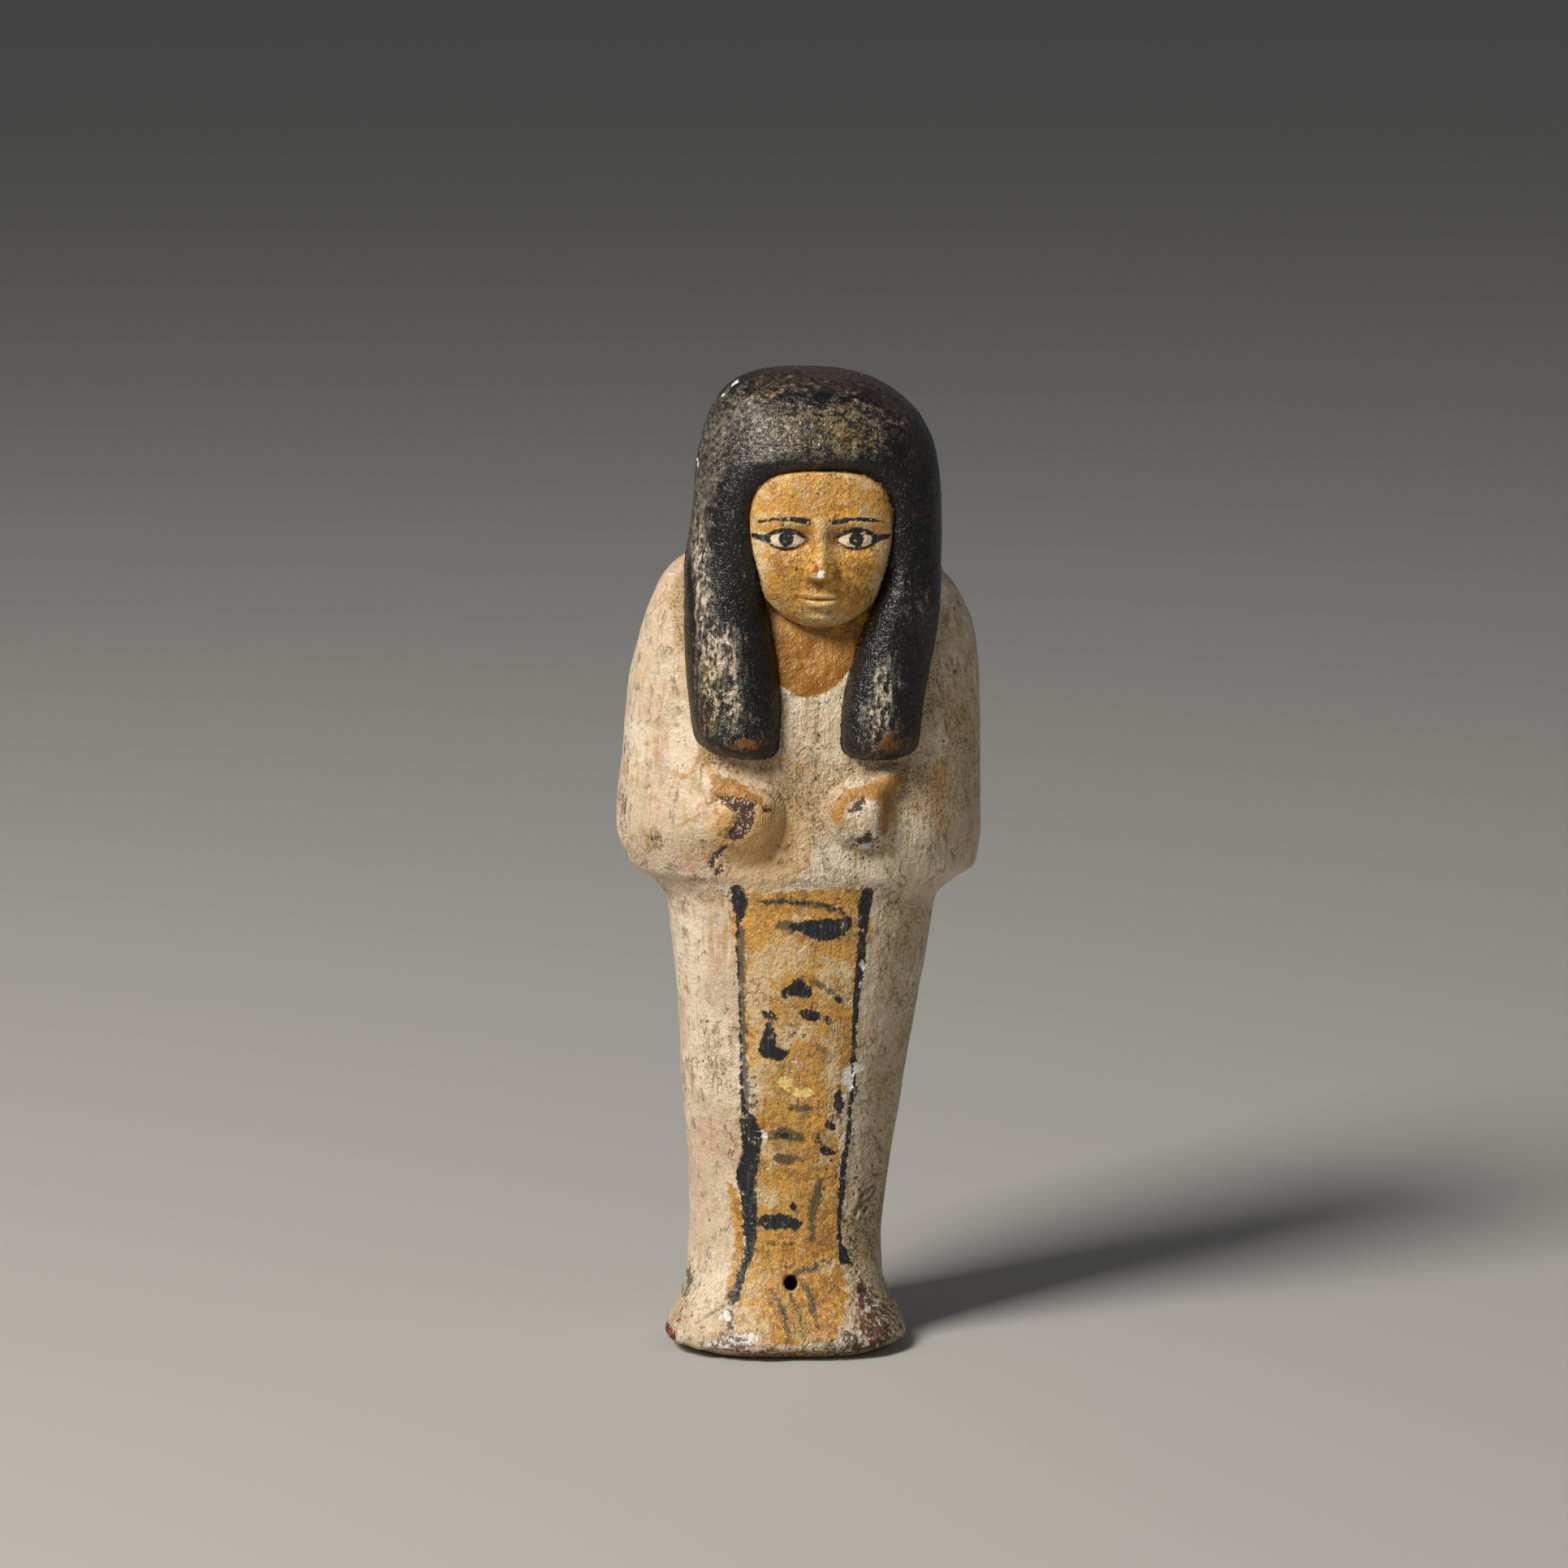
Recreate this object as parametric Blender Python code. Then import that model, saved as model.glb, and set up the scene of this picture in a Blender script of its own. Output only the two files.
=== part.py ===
"""A painted clay funerary servant figure in mummy form.

One solid piece: feet, wrapped legs, elbows, two fists, shoulders, and a head in a heavy three-part wig.
It faces -Y and stands on the flat underside of its feet, at z = 0.
"""

import math

import bpy
import numpy as np
from mathutils import Vector

# Driving dimensions, in metres.
HEIGHT = 0.180
HOLE_DIAMETER = 0.0024
HOLE_DEPTH = 0.0035
HOLE_ACROSS = -0.0012
HOLE_UP = 0.0138
HOLE_SIDES = 20
TRIANGLES = 9400

# The figure keeps its proportions: every number below is in design millimetres,
# on a figure 180 of them high.
DESIGN_HEIGHT = 180.0
UNIT = HEIGHT / DESIGN_HEIGHT

# The wrapped body, from the soles to inside the neck. Edges to the left and right of the middle,
# and how far the front and the back stand from the upright axis.
BODY = np.array(
    [
        # height  left   right  front  back
        (0.0, -21.0, 18.2, 21.6, 14.2),
        (2.5, -24.2, 19.7, 22.9, 14.4),
        (5.0, -23.2, 18.6, 22.5, 14.3),
        (8.0, -21.6, 17.0, 20.6, 14.1),
        (12.0, -20.7, 15.6, 18.0, 13.8),
        (19.0, -20.3, 15.4, 15.1, 13.4),
        (26.0, -20.0, 16.1, 14.4, 13.2),
        (38.0, -20.5, 17.8, 14.9, 13.9),
        (52.0, -21.6, 20.0, 16.0, 15.0),
        (66.0, -22.2, 22.5, 17.0, 16.2),
        (77.0, -23.2, 24.3, 17.6, 17.2),
        (83.2, -24.4, 25.4, 17.8, 17.2),
        (87.0, -27.4, 29.2, 18.3, 17.1),
        (89.5, -31.2, 32.6, 19.0, 17.1),
        (96.5, -33.3, 33.4, 19.4, 17.2),
        (110.0, -31.9, 33.5, 18.6, 17.5),
        (122.0, -30.7, 33.2, 16.8, 17.6),
        (132.0, -28.7, 32.1, 14.6, 16.4),
        (139.0, -26.4, 29.3, 12.2, 13.6),
        (144.0, -23.0, 25.0, 9.4, 10.4),
        (148.0, -15.7, 18.8, 6.4, 7.2),
        (152.0, -5.1, 10.1, 3.5, 4.0),
    ]
)
BODY_SQUARENESS = 2.35
SOLE_ROUNDING = 3.8
SOLE_INSET = 3.0
# The foot is squarer than the legs, and wider at the toes than at the heel.
FOOT_SQUARENESS = 2.8
FOOT_TAPER = 0.12
FOOT_FADE = (5.0, 18.0)

# The wig as one mass: a flat fall of hair down the back, sides up to the temples, then a dome.
WIG = np.array(
    [
        # height  left   right  front  back
        (112.0, -14.2, 18.8, 6.0, 8.0),
        (119.6, -15.6, 20.3, 6.0, 14.0),
        (121.6, -16.6, 21.3, 6.5, 20.2),
        (128.0, -18.3, 22.9, 9.0, 20.4),
        (134.0, -20.1, 24.9, 13.5, 20.8),
        (141.0, -20.6, 25.7, 18.2, 21.4),
        (149.0, -19.6, 25.9, 21.3, 22.0),
        (157.0, -18.7, 26.0, 22.2, 22.2),
    ]
)
WIG_SQUARENESS = 2.8
DOME_SQUARENESS = 2.3
DOME_START = 157.0
DOME_ROUNDNESS = 2.45
CROWN_SHIFT = -3.2

# The opening of the wig, which frames the face and runs down between the two front lappets.
OPENING = np.array(
    [
        # height  left   right
        (106.0, -3.6, 7.7),
        (114.0, -3.3, 7.6),
        (120.0, -2.9, 8.0),
        (127.0, -3.5, 9.4),
        (133.0, -4.7, 11.6),
        (143.5, -6.7, 15.2),
        (151.0, -8.4, 16.8),
        (155.0, -8.7, 17.1),
        (164.0, -8.7, 17.1),
    ]
)
HAIRLINE_START = 153.0
HAIRLINE_TOP = 163.4
HAIRLINE_SQUARENESS = 3.7
HAIR_ROLL_WIDTH = 6.0
HAIR_ROLL_DEPTH = 3.6

# The two lappets: their outer edges, and how far their crests stand to the front.
# Their inner edges are the opening's.
LAPPETS = np.array(
    [
        # height  left   right  crest
        (106.0, -17.4, 21.1, 22.6),
        (112.0, -18.2, 21.7, 22.6),
        (119.0, -19.3, 22.5, 22.0),
        (127.0, -20.1, 23.9, 20.9),
        (134.0, -20.5, 25.2, 19.8),
        (143.0, -20.4, 25.8, 18.8),
        (152.0, -19.6, 25.8, 17.8),
    ]
)
LAPPET_ENDS = (111.3, 110.8)
LAPPET_END_SLANTS = (-0.14, 0.0)
LAPPET_ROUNDNESS = 2.3
LAPPET_DEPTH = 9.0
LAPPET_END_ROUNDING = 4.2
LAPPET_TILT = 0.16
HAIR_MERGE = (138.0, 158.0)

# The face, an egg-shaped mask that fills the opening.
# Its features are shares of its own height and half width.
FACE_MIDDLE = 4.2
FACE_HALF_WIDTH = 13.8
FACE_TOP = 167.5
CHIN = 134.5
FACE_WIDEST_SHARE = 0.5
FACE_BACK = 13.4
FACE_SWELL = 8.0
FACE_ROUNDNESS = 2.7
FOREHEAD_SQUARENESS = 2.9

# The fists: middle across and up, reach to the left, right, down and up, and how far they stand out.
FISTS = (
    (-8.4, 101.0, 12.5, 5.9, 9.8, 6.4, 3.5),
    (12.0, 101.3, 7.8, 4.7, 6.8, 6.6, 4.2),
)
FIST_ROUNDNESS = 1.1
# The wrists: two ends across and up, half width, and how far they stand out.
WRISTS = (
    (-14.8, 106.3, -9.5, 104.2, 3.4, 2.3),
    (16.3, 107.2, 12.6, 103.6, 3.0, 2.7),
)
FOREARMS = (
    (-20.0, 98.5, 9.5, 6.5, 1.4),
    (22.0, 98.0, 9.5, 6.5, 1.4),
)

# The painted panel down the legs, whose edges the surface is divided along.
PANEL = np.array(
    [
        # height  left   right
        (0.0, -10.5, 8.5),
        (12.0, -9.4, 8.2),
        (24.0, -8.2, 8.0),
        (54.0, -8.9, 9.8),
        (86.0, -10.2, 11.8),
    ]
)

# How the surface is divided before it is thinned to the triangle count: columns in the centre, each
# lappet, each side and each half of the back, and rows from the sole to the crown.
CENTRE_COLUMNS = 36
LAPPET_COLUMNS = 20
SIDE_COLUMNS = 9
BACK_COLUMNS = 17
ROWS = 170
SOLE_RINGS = 3
AXIS_BLEND = (124.0, 146.0)
INNER_ANGLE = math.radians(36.0)
OUTER_ANGLE = math.radians(66.0)
OUTER_SHARE = 0.72

CLAY_COLOUR = (0.62, 0.53, 0.40, 1.0)
CLAY_ROUGHNESS = 0.6


def clear_scene():
    for old in list(bpy.data.objects):
        bpy.data.objects.remove(old, do_unlink=True)


def smooth_step(low, high, value):
    """0 below low, 1 above high, and an S curve between."""
    t = np.clip((value - low) / (high - low), 0.0, 1.0)
    return t * t * (3.0 - 2.0 * t)


def smooth_max(a, b, width):
    """The larger of a and b, with the crease between them filled over this width."""
    share = np.clip(0.5 + 0.5 * (a - b) / width, 0.0, 1.0)
    return b + (a - b) * share + width * share * (1.0 - share)


def through(stations, column, height):
    """A column of a station table at these heights, on a monotone cubic through its points."""
    z, value = stations[:, 0], stations[:, column]
    step = np.diff(z)
    slope = np.diff(value) / step
    same = slope[:-1] * slope[1:] > 0
    weight = np.where(same, slope[:-1] * slope[1:], 0.0)
    inner = np.where(same, 2.0 * weight / np.where(same, slope[:-1] + slope[1:], 1.0), 0.0)
    tangent = np.concatenate([slope[:1], inner, slope[-1:]])
    height = np.clip(height, z[0], z[-1])
    i = np.clip(np.searchsorted(z, height) - 1, 0, len(z) - 2)
    t = (height - z[i]) / step[i]
    return (
        value[i] * (1 + 2 * t) * (1 - t) ** 2
        + value[i + 1] * t * t * (3 - 2 * t)
        + step[i] * (tangent[i] * t * (1 - t) ** 2 + tangent[i + 1] * t * t * (t - 1))
    )


def section_radius(angle, left, right, front, back, squareness):
    """Distance from the axis to a rounded outline with its own reach to each side. Angle 0 is the front."""
    across = np.abs(np.sin(angle)) / np.where(np.sin(angle) > 0, right, left)
    along = np.abs(np.cos(angle)) / np.where(np.cos(angle) > 0, front, back)
    return (across**squareness + along**squareness) ** (-1.0 / squareness)


def axis_across(z):
    """The upright line that the sections are drawn about: the middle of the body, then of the head."""
    body = (through(BODY, 1, z) + through(BODY, 2, z)) / 2
    wig = (through(WIG, 1, z) + through(WIG, 2, z)) / 2 + crown_shift(z)
    return body + (wig - body) * smooth_step(*AXIS_BLEND, z)


def dome_rise(z):
    return np.clip((z - DOME_START) / (DESIGN_HEIGHT - DOME_START), 0.0, 1.0)


def crown_shift(z):
    return CROWN_SHIFT * dome_rise(z) ** 3


def on_foot(z):
    """1 on the foot, fading to 0 up the ankle."""
    return 1.0 - smooth_step(*FOOT_FADE, z)


def body_radius(angle, z):
    middle = axis_across(z)
    reach = (
        middle - through(BODY, 1, z),
        through(BODY, 2, z) - middle,
        through(BODY, 3, z),
        through(BODY, 4, z),
    )
    near_sole = np.clip(1.0 - z / SOLE_ROUNDING, 0.0, 1.0)
    inset = SOLE_INSET * (1.0 - np.sqrt(1.0 - near_sole**2))
    squareness = BODY_SQUARENESS + (FOOT_SQUARENESS - BODY_SQUARENESS) * on_foot(z)
    radius = section_radius(angle, *[np.maximum(r, 1.0) for r in reach], squareness) - inset
    return np.where(z > BODY[-1, 0], 0.0, radius)


def wig_radius(angle, z):
    middle = axis_across(z)
    dome = (1.0 - dome_rise(z) ** DOME_ROUNDNESS) ** (1.0 / DOME_ROUNDNESS)
    centre = (through(WIG, 1, z) + through(WIG, 2, z)) / 2
    half_width = (through(WIG, 2, z) - through(WIG, 1, z)) / 2 * dome
    shift = centre + crown_shift(z) - middle
    reach = (
        half_width - shift,
        half_width + shift,
        through(WIG, 3, z) * dome,
        through(WIG, 4, z) * dome,
    )
    squareness = WIG_SQUARENESS + (DOME_SQUARENESS - WIG_SQUARENESS) * smooth_step(150.0, 168.0, z)
    radius = section_radius(angle, *[np.maximum(r, 1e-6) for r in reach], squareness)
    return np.where(z < WIG[0, 0], 0.0, radius)


def mass_radius(angle, z):
    """The body and the wig as one plain mass, before anything is carved on it."""
    return smooth_max(body_radius(angle, z), wig_radius(angle, z), 1.2)


def body_front(x, z):
    """How far the plain body stands to the front at this place, as if nothing lay on it."""
    middle = axis_across(z)
    reach = np.where(x > middle, through(BODY, 2, z) - middle, middle - through(BODY, 1, z))
    u = np.clip(np.abs(x - middle) / np.maximum(reach, 1.0), 0.0, 1.0)
    stands = through(BODY, 3, z) * (1.0 - u**BODY_SQUARENESS) ** (1.0 / BODY_SQUARENESS)
    return stands - 40.0 * smooth_step(148.0, 152.0, z)


def opening_distance(x, z):
    """Distance in from the opening's edge is negative, and out on the hair positive."""
    left, right = through(OPENING, 1, z), through(OPENING, 2, z)
    half = (right - left) / 2
    across = np.abs(x - (left + right) / 2) / half
    up = np.clip((z - HAIRLINE_START) / (HAIRLINE_TOP - HAIRLINE_START), 0.0, None)
    power = HAIRLINE_SQUARENESS
    return ((across**power + up**power) ** (1.0 / power) - 1.0) * half


def hair_bar(x, z, left, right, end, slant, crest, tilt):
    """How far a bar of hair stands out: rounded from its crest to both edges and to its cut end."""
    half = (right - left) / 2
    across = (x - (left + right) / 2) / half
    cut = end + slant * across * half
    down = np.clip((cut + LAPPET_END_ROUNDING - z) / LAPPET_END_ROUNDING, 0.0, None)
    edge = np.abs(across) ** LAPPET_ROUNDNESS + down ** (1.6 * LAPPET_ROUNDNESS)
    dome = np.clip(1.0 - edge, 0.0, 1.0) ** (1.0 / LAPPET_ROUNDNESS)
    outside = np.maximum(edge - 1.0, 0.0) * 4.0
    return crest - LAPPET_DEPTH * (1.0 - dome) - outside + tilt * across * half


def lappets(x, z):
    """The two front lappets, which slope down towards the shoulders."""
    crest = through(LAPPETS, 3, z)
    left = through(LAPPETS, 1, z), through(OPENING, 1, z)
    right = through(OPENING, 2, z), through(LAPPETS, 2, z)
    left_bar = hair_bar(x, z, *left, LAPPET_ENDS[0], LAPPET_END_SLANTS[0], crest, LAPPET_TILT)
    right_bar = hair_bar(x, z, *right, LAPPET_ENDS[1], LAPPET_END_SLANTS[1], crest, -LAPPET_TILT)
    return np.maximum(left_bar, right_bar)


def eyelid(side, z, middle, height, half_width, half_height):
    """A dome from 1 at its middle to 0 at an oval rim."""
    u, v = (side - middle) / half_width, (z - height) / half_height
    return np.clip(1.0 - u * u - v * v, 0.0, 1.0) ** 0.7


def soft_bump(x, z, middle, height, half_width, half_height):
    """A bell with no rim, 1 at its middle."""
    return np.exp(-(((x - middle) / half_width) ** 2) - ((z - height) / half_height) ** 2)


def knob(x, z, middle, height, left, right, down, up):
    """A dome from 1 at its middle to 0 at its rim, with its own reach to each side."""
    u = (x - middle) / np.where(x > middle, right, left)
    v = (z - height) / np.where(z > height, up, down)
    return np.clip(1.0 - u * u - v * v, 0.0, 1.0) ** FIST_ROUNDNESS


def ridge(x, z, x0, z0, x1, z1, half_width):
    """A rounded bar between two places: 1 along its middle and 0 at its rim."""
    run, climb = x1 - x0, z1 - z0
    along = np.clip(((x - x0) * run + (z - z0) * climb) / (run**2 + climb**2), 0.0, 1.0)
    away = np.hypot(x - x0 - run * along, z - z0 - climb * along)
    return np.clip(1.0 - (away / half_width) ** 2, 0.0, 1.0)


def face_features(x, z):
    """Relief of a calm, plain face on the usual thirds: hairline, brow, foot of the nose, chin."""
    third = (HAIRLINE_TOP - CHIN) / 3
    brow, nose_foot = HAIRLINE_TOP - third, CHIN + third
    eye, mouth = brow - 0.26 * third, CHIN + 0.64 * third
    side = np.abs(x - FACE_MIDDLE)
    eye_out = 0.46 * FACE_HALF_WIDTH
    relief = 0.55 * soft_bump(side, z, eye_out * 0.9, brow, 4.6, 1.5)
    relief = relief - 0.95 * soft_bump(side, z, eye_out * 0.93, eye, 4.0, 2.4)
    relief = relief + 0.75 * eyelid(side, z, eye_out, eye, 3.4, 1.6)
    along = np.clip((brow - z) / (brow - nose_foot), 0.0, 1.0)
    width = 1.3 + 1.5 * along
    ridge = (0.8 + 2.3 * along) * np.exp(-((side / width) ** 2.2))
    below = smooth_step(nose_foot - 0.7, nose_foot + 1.3, z)
    above = 1.0 - smooth_step(brow - 1.0, brow + 3.0, z)
    relief = relief + ridge * below * above
    relief = relief + 0.8 * soft_bump(side, z, 2.1, nose_foot + 1.2, 1.1, 1.1)
    relief = relief + 0.75 * soft_bump(side, z, 0.0, mouth + 0.95, 3.9, 0.85)
    relief = relief + 0.85 * soft_bump(side, z, 0.0, mouth - 1.0, 3.1, 0.95)
    relief = relief - 0.45 * soft_bump(side, z, 0.0, mouth - 0.05, 4.0, 0.35)
    relief = relief - 0.35 * soft_bump(side, z, 0.0, mouth - 2.7, 3.0, 0.9)
    relief = relief + 1.0 * soft_bump(side, z, 0.0, CHIN + 0.22 * third, 3.4, 2.2)
    return relief + 0.5 * soft_bump(side, z, 0.55 * FACE_HALF_WIDTH, (eye + mouth) / 2, 4.2, 4.0)


def face_front(x, z):
    """How far the face stands to the front: a domed egg, with its features on it."""
    widest = CHIN + FACE_WIDEST_SHARE * (FACE_TOP - CHIN)
    rise = np.where(z > widest, FACE_TOP - widest, widest - CHIN)
    across, up = np.abs(x - FACE_MIDDLE) / FACE_HALF_WIDTH, np.abs(z - widest) / rise
    power = np.where(z > widest, FOREHEAD_SQUARENESS, 2.0)
    from_middle = (across**power + up**power) ** (1.0 / power)
    q = np.clip(from_middle, 0.0, 1.0)
    dome = (1.0 - q**FACE_ROUNDNESS) ** (1.0 / FACE_ROUNDNESS)
    fade = 1.0 - smooth_step(0.8, 1.0, q)
    outside = np.maximum(from_middle - 1.0, 0.0) * FACE_HALF_WIDTH * 3.0
    return FACE_BACK + FACE_SWELL * dome - outside + face_features(x, z) * fade


def chest_relief(x, z):
    """The forearms under the wrapping, the two fists, and the hollow between them."""
    relief = -0.7 * soft_bump(x, z, 1.2, 103.0, 4.5, 7.0)
    for middle, height, half_width, half_height, swell in FOREARMS:
        relief = relief + swell * soft_bump(x, z, middle, height, half_width, half_height)
    for (*fist, fist_swell), (*wrist, wrist_swell) in zip(FISTS, WRISTS):
        hand = (fist_swell * knob(x, z, *fist)) ** 3 + (wrist_swell * ridge(x, z, *wrist)) ** 3
        relief = relief + hand ** (1.0 / 3.0)
    return relief


def front_depth(x, z, base):
    """How far the finished front stands out, where the plain mass stands out by base."""
    distance = opening_distance(x, z)
    roll = np.clip(1.0 - distance / HAIR_ROLL_WIDTH, 0.0, 1.0)
    above_ends = smooth_step(128.0, 136.0, z)
    rolled = base - above_ends * HAIR_ROLL_DEPTH * (1.0 - np.sqrt(1.0 - roll**2))
    on_top = smooth_max(rolled, lappets(x, z), 0.8) - rolled
    outer = rolled + on_top * (1.0 - smooth_step(*HAIR_MERGE, z))
    inner = smooth_max(face_front(x, z), body_front(x, z), 0.8)
    inside = 1.0 - smooth_step(-0.4, 0.4, distance)
    in_opening = inside * smooth_step(126.0, 130.0, z)
    on_chest = chest_relief(x, z) * smooth_step(0.0, 6.0, base)
    return outer + (inner - outer) * in_opening + on_chest


def surface(angle, z):
    """The figure's skin: a point for each angle about the axis and each height, in design millimetres."""
    radius = mass_radius(angle, z)
    depth = radius * np.cos(angle)
    flare = 1.0 + FOOT_TAPER * on_foot(z) * depth / through(BODY, 3, z)
    x = axis_across(z) + radius * np.sin(angle) * flare
    carved = depth + (front_depth(x, z, depth) - depth) * smooth_step(0.0, 5.0, depth)
    return np.stack([x, -np.where(depth > 0, carved, depth), z + np.zeros_like(x)], axis=-1)


def angle_at(x, z):
    """The angle about the axis at which the front of the plain mass is this far across, by halving."""
    low, high = np.full_like(z, -math.pi / 2), np.full_like(z, math.pi / 2)
    for _ in range(24):
        middle = (low + high) / 2
        beyond = axis_across(z) + mass_radius(middle, z) * np.sin(middle) > x
        low, high = np.where(beyond, low, middle), np.where(beyond, middle, high)
    return (low + high) / 2


def guide_angles(z):
    """Angles of the lines that the columns follow, from the back round by the left, front and right."""
    on_chest = smooth_step(94.0, 108.0, z)
    above = smooth_step(158.0, 172.0, z)
    beside = smooth_step(136.0, 148.0, z)
    inner, outer = [], []
    for column, side in ((1, -1), (2, 1)):
        panel, thigh = through(PANEL, column, z), through(BODY, column, z) * OUTER_SHARE
        opening, lappet = through(OPENING, column, z), through(LAPPETS, column, z)
        near = angle_at(panel + (opening - panel) * on_chest, z)
        far = angle_at(thigh + (lappet - thigh) * on_chest, z)
        inner.append(near * (1 - above) + side * INNER_ANGLE * above)
        outer.append(far * (1 - beside) + side * OUTER_ANGLE * beside)
    quarter, half = np.full_like(z, math.pi / 2), np.full_like(z, math.pi)
    return np.stack([-half, -quarter, outer[0], inner[0], inner[1], outer[1], quarter, half])


def column_angles(z):
    """An angle for each column and height: each sector shared out, closer together at a lappet's edges."""
    guides = guide_angles(z)
    left_counts = (BACK_COLUMNS, SIDE_COLUMNS, LAPPET_COLUMNS)
    counts = (*left_counts, CENTRE_COLUMNS, *reversed(left_counts))
    crowding = (0.0, 0.0, 0.75, 0.35, 0.75, 0.0, 0.0)
    columns = []
    for start, end, count, crowd in zip(guides[:-1], guides[1:], counts, crowding):
        t = np.arange(count) / count
        t = t + crowd * ((1.0 - np.cos(math.pi * t)) / 2 - t)
        columns.append(start + (end - start) * t[:, None])
    return np.concatenate(columns)


def row_heights():
    """Heights from the sole to just under the crown, spaced by the distance along the skin."""
    rise = 1.0 - np.linspace(1.0, 0.0, 2400) ** 2
    fine = rise * DESIGN_HEIGHT
    probe = surface(np.linspace(-math.pi, math.pi, 25)[:-1, None], fine[None, :])
    steps = np.linalg.norm(np.diff(probe, axis=1), axis=-1).max(axis=0)
    travelled = np.concatenate([[0.0], np.cumsum(steps)])
    return np.interp(np.linspace(0.0, travelled[-1], ROWS + 1)[:-1], travelled, fine)


def figure_mesh():
    """The whole skin as quads, with rings across the flat sole and a point at the crown."""
    heights = row_heights()
    skin = surface(column_angles(heights), heights[None, :])
    columns = len(skin)
    rim = skin[:, 0]
    middle = rim.mean(axis=0)
    rings = [middle + (rim - middle) * (i + 1) / SOLE_RINGS for i in range(SOLE_RINGS - 1)]
    rows = np.stack(rings + [skin[:, j] for j in range(ROWS)], axis=0)
    crown = skin[:, -1].mean(axis=0)
    crown[2] = DESIGN_HEIGHT
    points = np.concatenate([rows.reshape(-1, 3), [middle, crown]])
    low, high = points.min(axis=0), points.max(axis=0)
    points[:, :2] -= ((low + high) / 2)[:2]
    count = len(rows)
    start = np.arange(count - 1)[:, None] * columns
    here, beside = np.arange(columns), (np.arange(columns) + 1) % columns
    quads = np.stack(
        [start + here, start + beside, start + columns + beside, start + columns + here], axis=-1
    ).reshape(-1, 4)
    last = (count - 1) * columns
    sole = np.stack([beside, here, np.full(columns, count * columns)], axis=-1)
    top = np.stack([last + here, last + beside, np.full(columns, count * columns + 1)], axis=-1)
    mesh = bpy.data.meshes.new("statuette")
    mesh.from_pydata((points * UNIT).tolist(), [], quads.tolist() + sole.tolist() + top.tolist())
    mesh.shade_smooth()
    return mesh


def clay_material():
    clay = bpy.data.materials.new("painted_clay")
    clay.use_nodes = True
    shader = clay.node_tree.nodes["Principled BSDF"]
    shader.inputs["Base Color"].default_value = CLAY_COLOUR
    shader.inputs["Roughness"].default_value = CLAY_ROUGHNESS
    shader.inputs["Metallic"].default_value = 0.0
    return clay


def add_statuette():
    statuette = bpy.data.objects.new("statuette", figure_mesh())
    bpy.context.collection.objects.link(statuette)
    statuette.data.materials.append(clay_material())
    thin = statuette.modifiers.new("thin to the triangle count", "DECIMATE")
    triangles = sum(len(face.vertices) - 2 for face in statuette.data.polygons)
    thin.ratio = min(1.0, TRIANGLES / triangles)
    return statuette


def cut_instep_hole(statuette):
    """A small round hole in the instep, square to the slope it is in."""
    bpy.context.view_layer.update()
    above = Vector((HOLE_ACROSS, -HEIGHT, HOLE_UP))
    found, place, normal, _ = statuette.ray_cast(above, Vector((0.0, 1.0, 0.0)))
    mouth = HOLE_DIAMETER
    bpy.ops.mesh.primitive_cylinder_add(
        vertices=HOLE_SIDES,
        radius=HOLE_DIAMETER / 2,
        depth=HOLE_DEPTH + mouth,
        location=place + normal * (mouth - HOLE_DEPTH) / 2,
        rotation=normal.to_track_quat("Z", "X").to_euler(),
    )
    cutter = bpy.context.active_object
    cutter.name = "instep_hole_cutter"
    cutter.hide_render = True
    cutter.display_type = "WIRE"
    cut = statuette.modifiers.new("instep hole", "BOOLEAN")
    cut.operation = "DIFFERENCE"
    cut.object = cutter


def main():
    clear_scene()
    statuette = add_statuette()
    cut_instep_hole(statuette)


main()
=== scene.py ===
"""The finished look of a painted clay servant figure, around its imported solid.

The figure is one skin: a function of the angle about an upright axis and the height, worked out as whole
arrays in design millimetres on a figure 180 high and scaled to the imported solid. The paint is a set of
signed distances in millimetres, stored on the skin, that the clay's material turns into brushed edges.
"""

import math

import bpy
import numpy as np
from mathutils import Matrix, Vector


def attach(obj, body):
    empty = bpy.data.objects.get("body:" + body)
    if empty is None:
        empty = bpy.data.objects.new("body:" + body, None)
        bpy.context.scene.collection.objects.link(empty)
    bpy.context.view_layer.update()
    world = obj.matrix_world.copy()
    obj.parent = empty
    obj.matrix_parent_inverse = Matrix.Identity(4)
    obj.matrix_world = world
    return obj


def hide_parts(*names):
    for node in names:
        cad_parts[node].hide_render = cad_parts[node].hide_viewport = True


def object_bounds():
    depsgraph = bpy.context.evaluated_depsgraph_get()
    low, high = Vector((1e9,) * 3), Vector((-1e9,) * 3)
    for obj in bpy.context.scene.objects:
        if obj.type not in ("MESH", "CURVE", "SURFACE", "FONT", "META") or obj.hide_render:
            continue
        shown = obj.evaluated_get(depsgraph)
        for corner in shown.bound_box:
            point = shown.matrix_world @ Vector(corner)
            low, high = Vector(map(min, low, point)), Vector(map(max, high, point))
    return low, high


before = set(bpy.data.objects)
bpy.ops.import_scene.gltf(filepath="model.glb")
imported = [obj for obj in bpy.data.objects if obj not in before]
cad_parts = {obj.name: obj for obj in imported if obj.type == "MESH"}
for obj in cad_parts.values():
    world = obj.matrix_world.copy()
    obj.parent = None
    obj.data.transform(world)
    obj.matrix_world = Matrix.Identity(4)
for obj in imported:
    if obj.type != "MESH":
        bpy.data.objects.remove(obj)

CAD_LOW, CAD_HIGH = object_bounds()
DESIGN_HEIGHT = 180.0
UNIT = (CAD_HIGH.z - CAD_LOW.z) / DESIGN_HEIGHT

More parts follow.
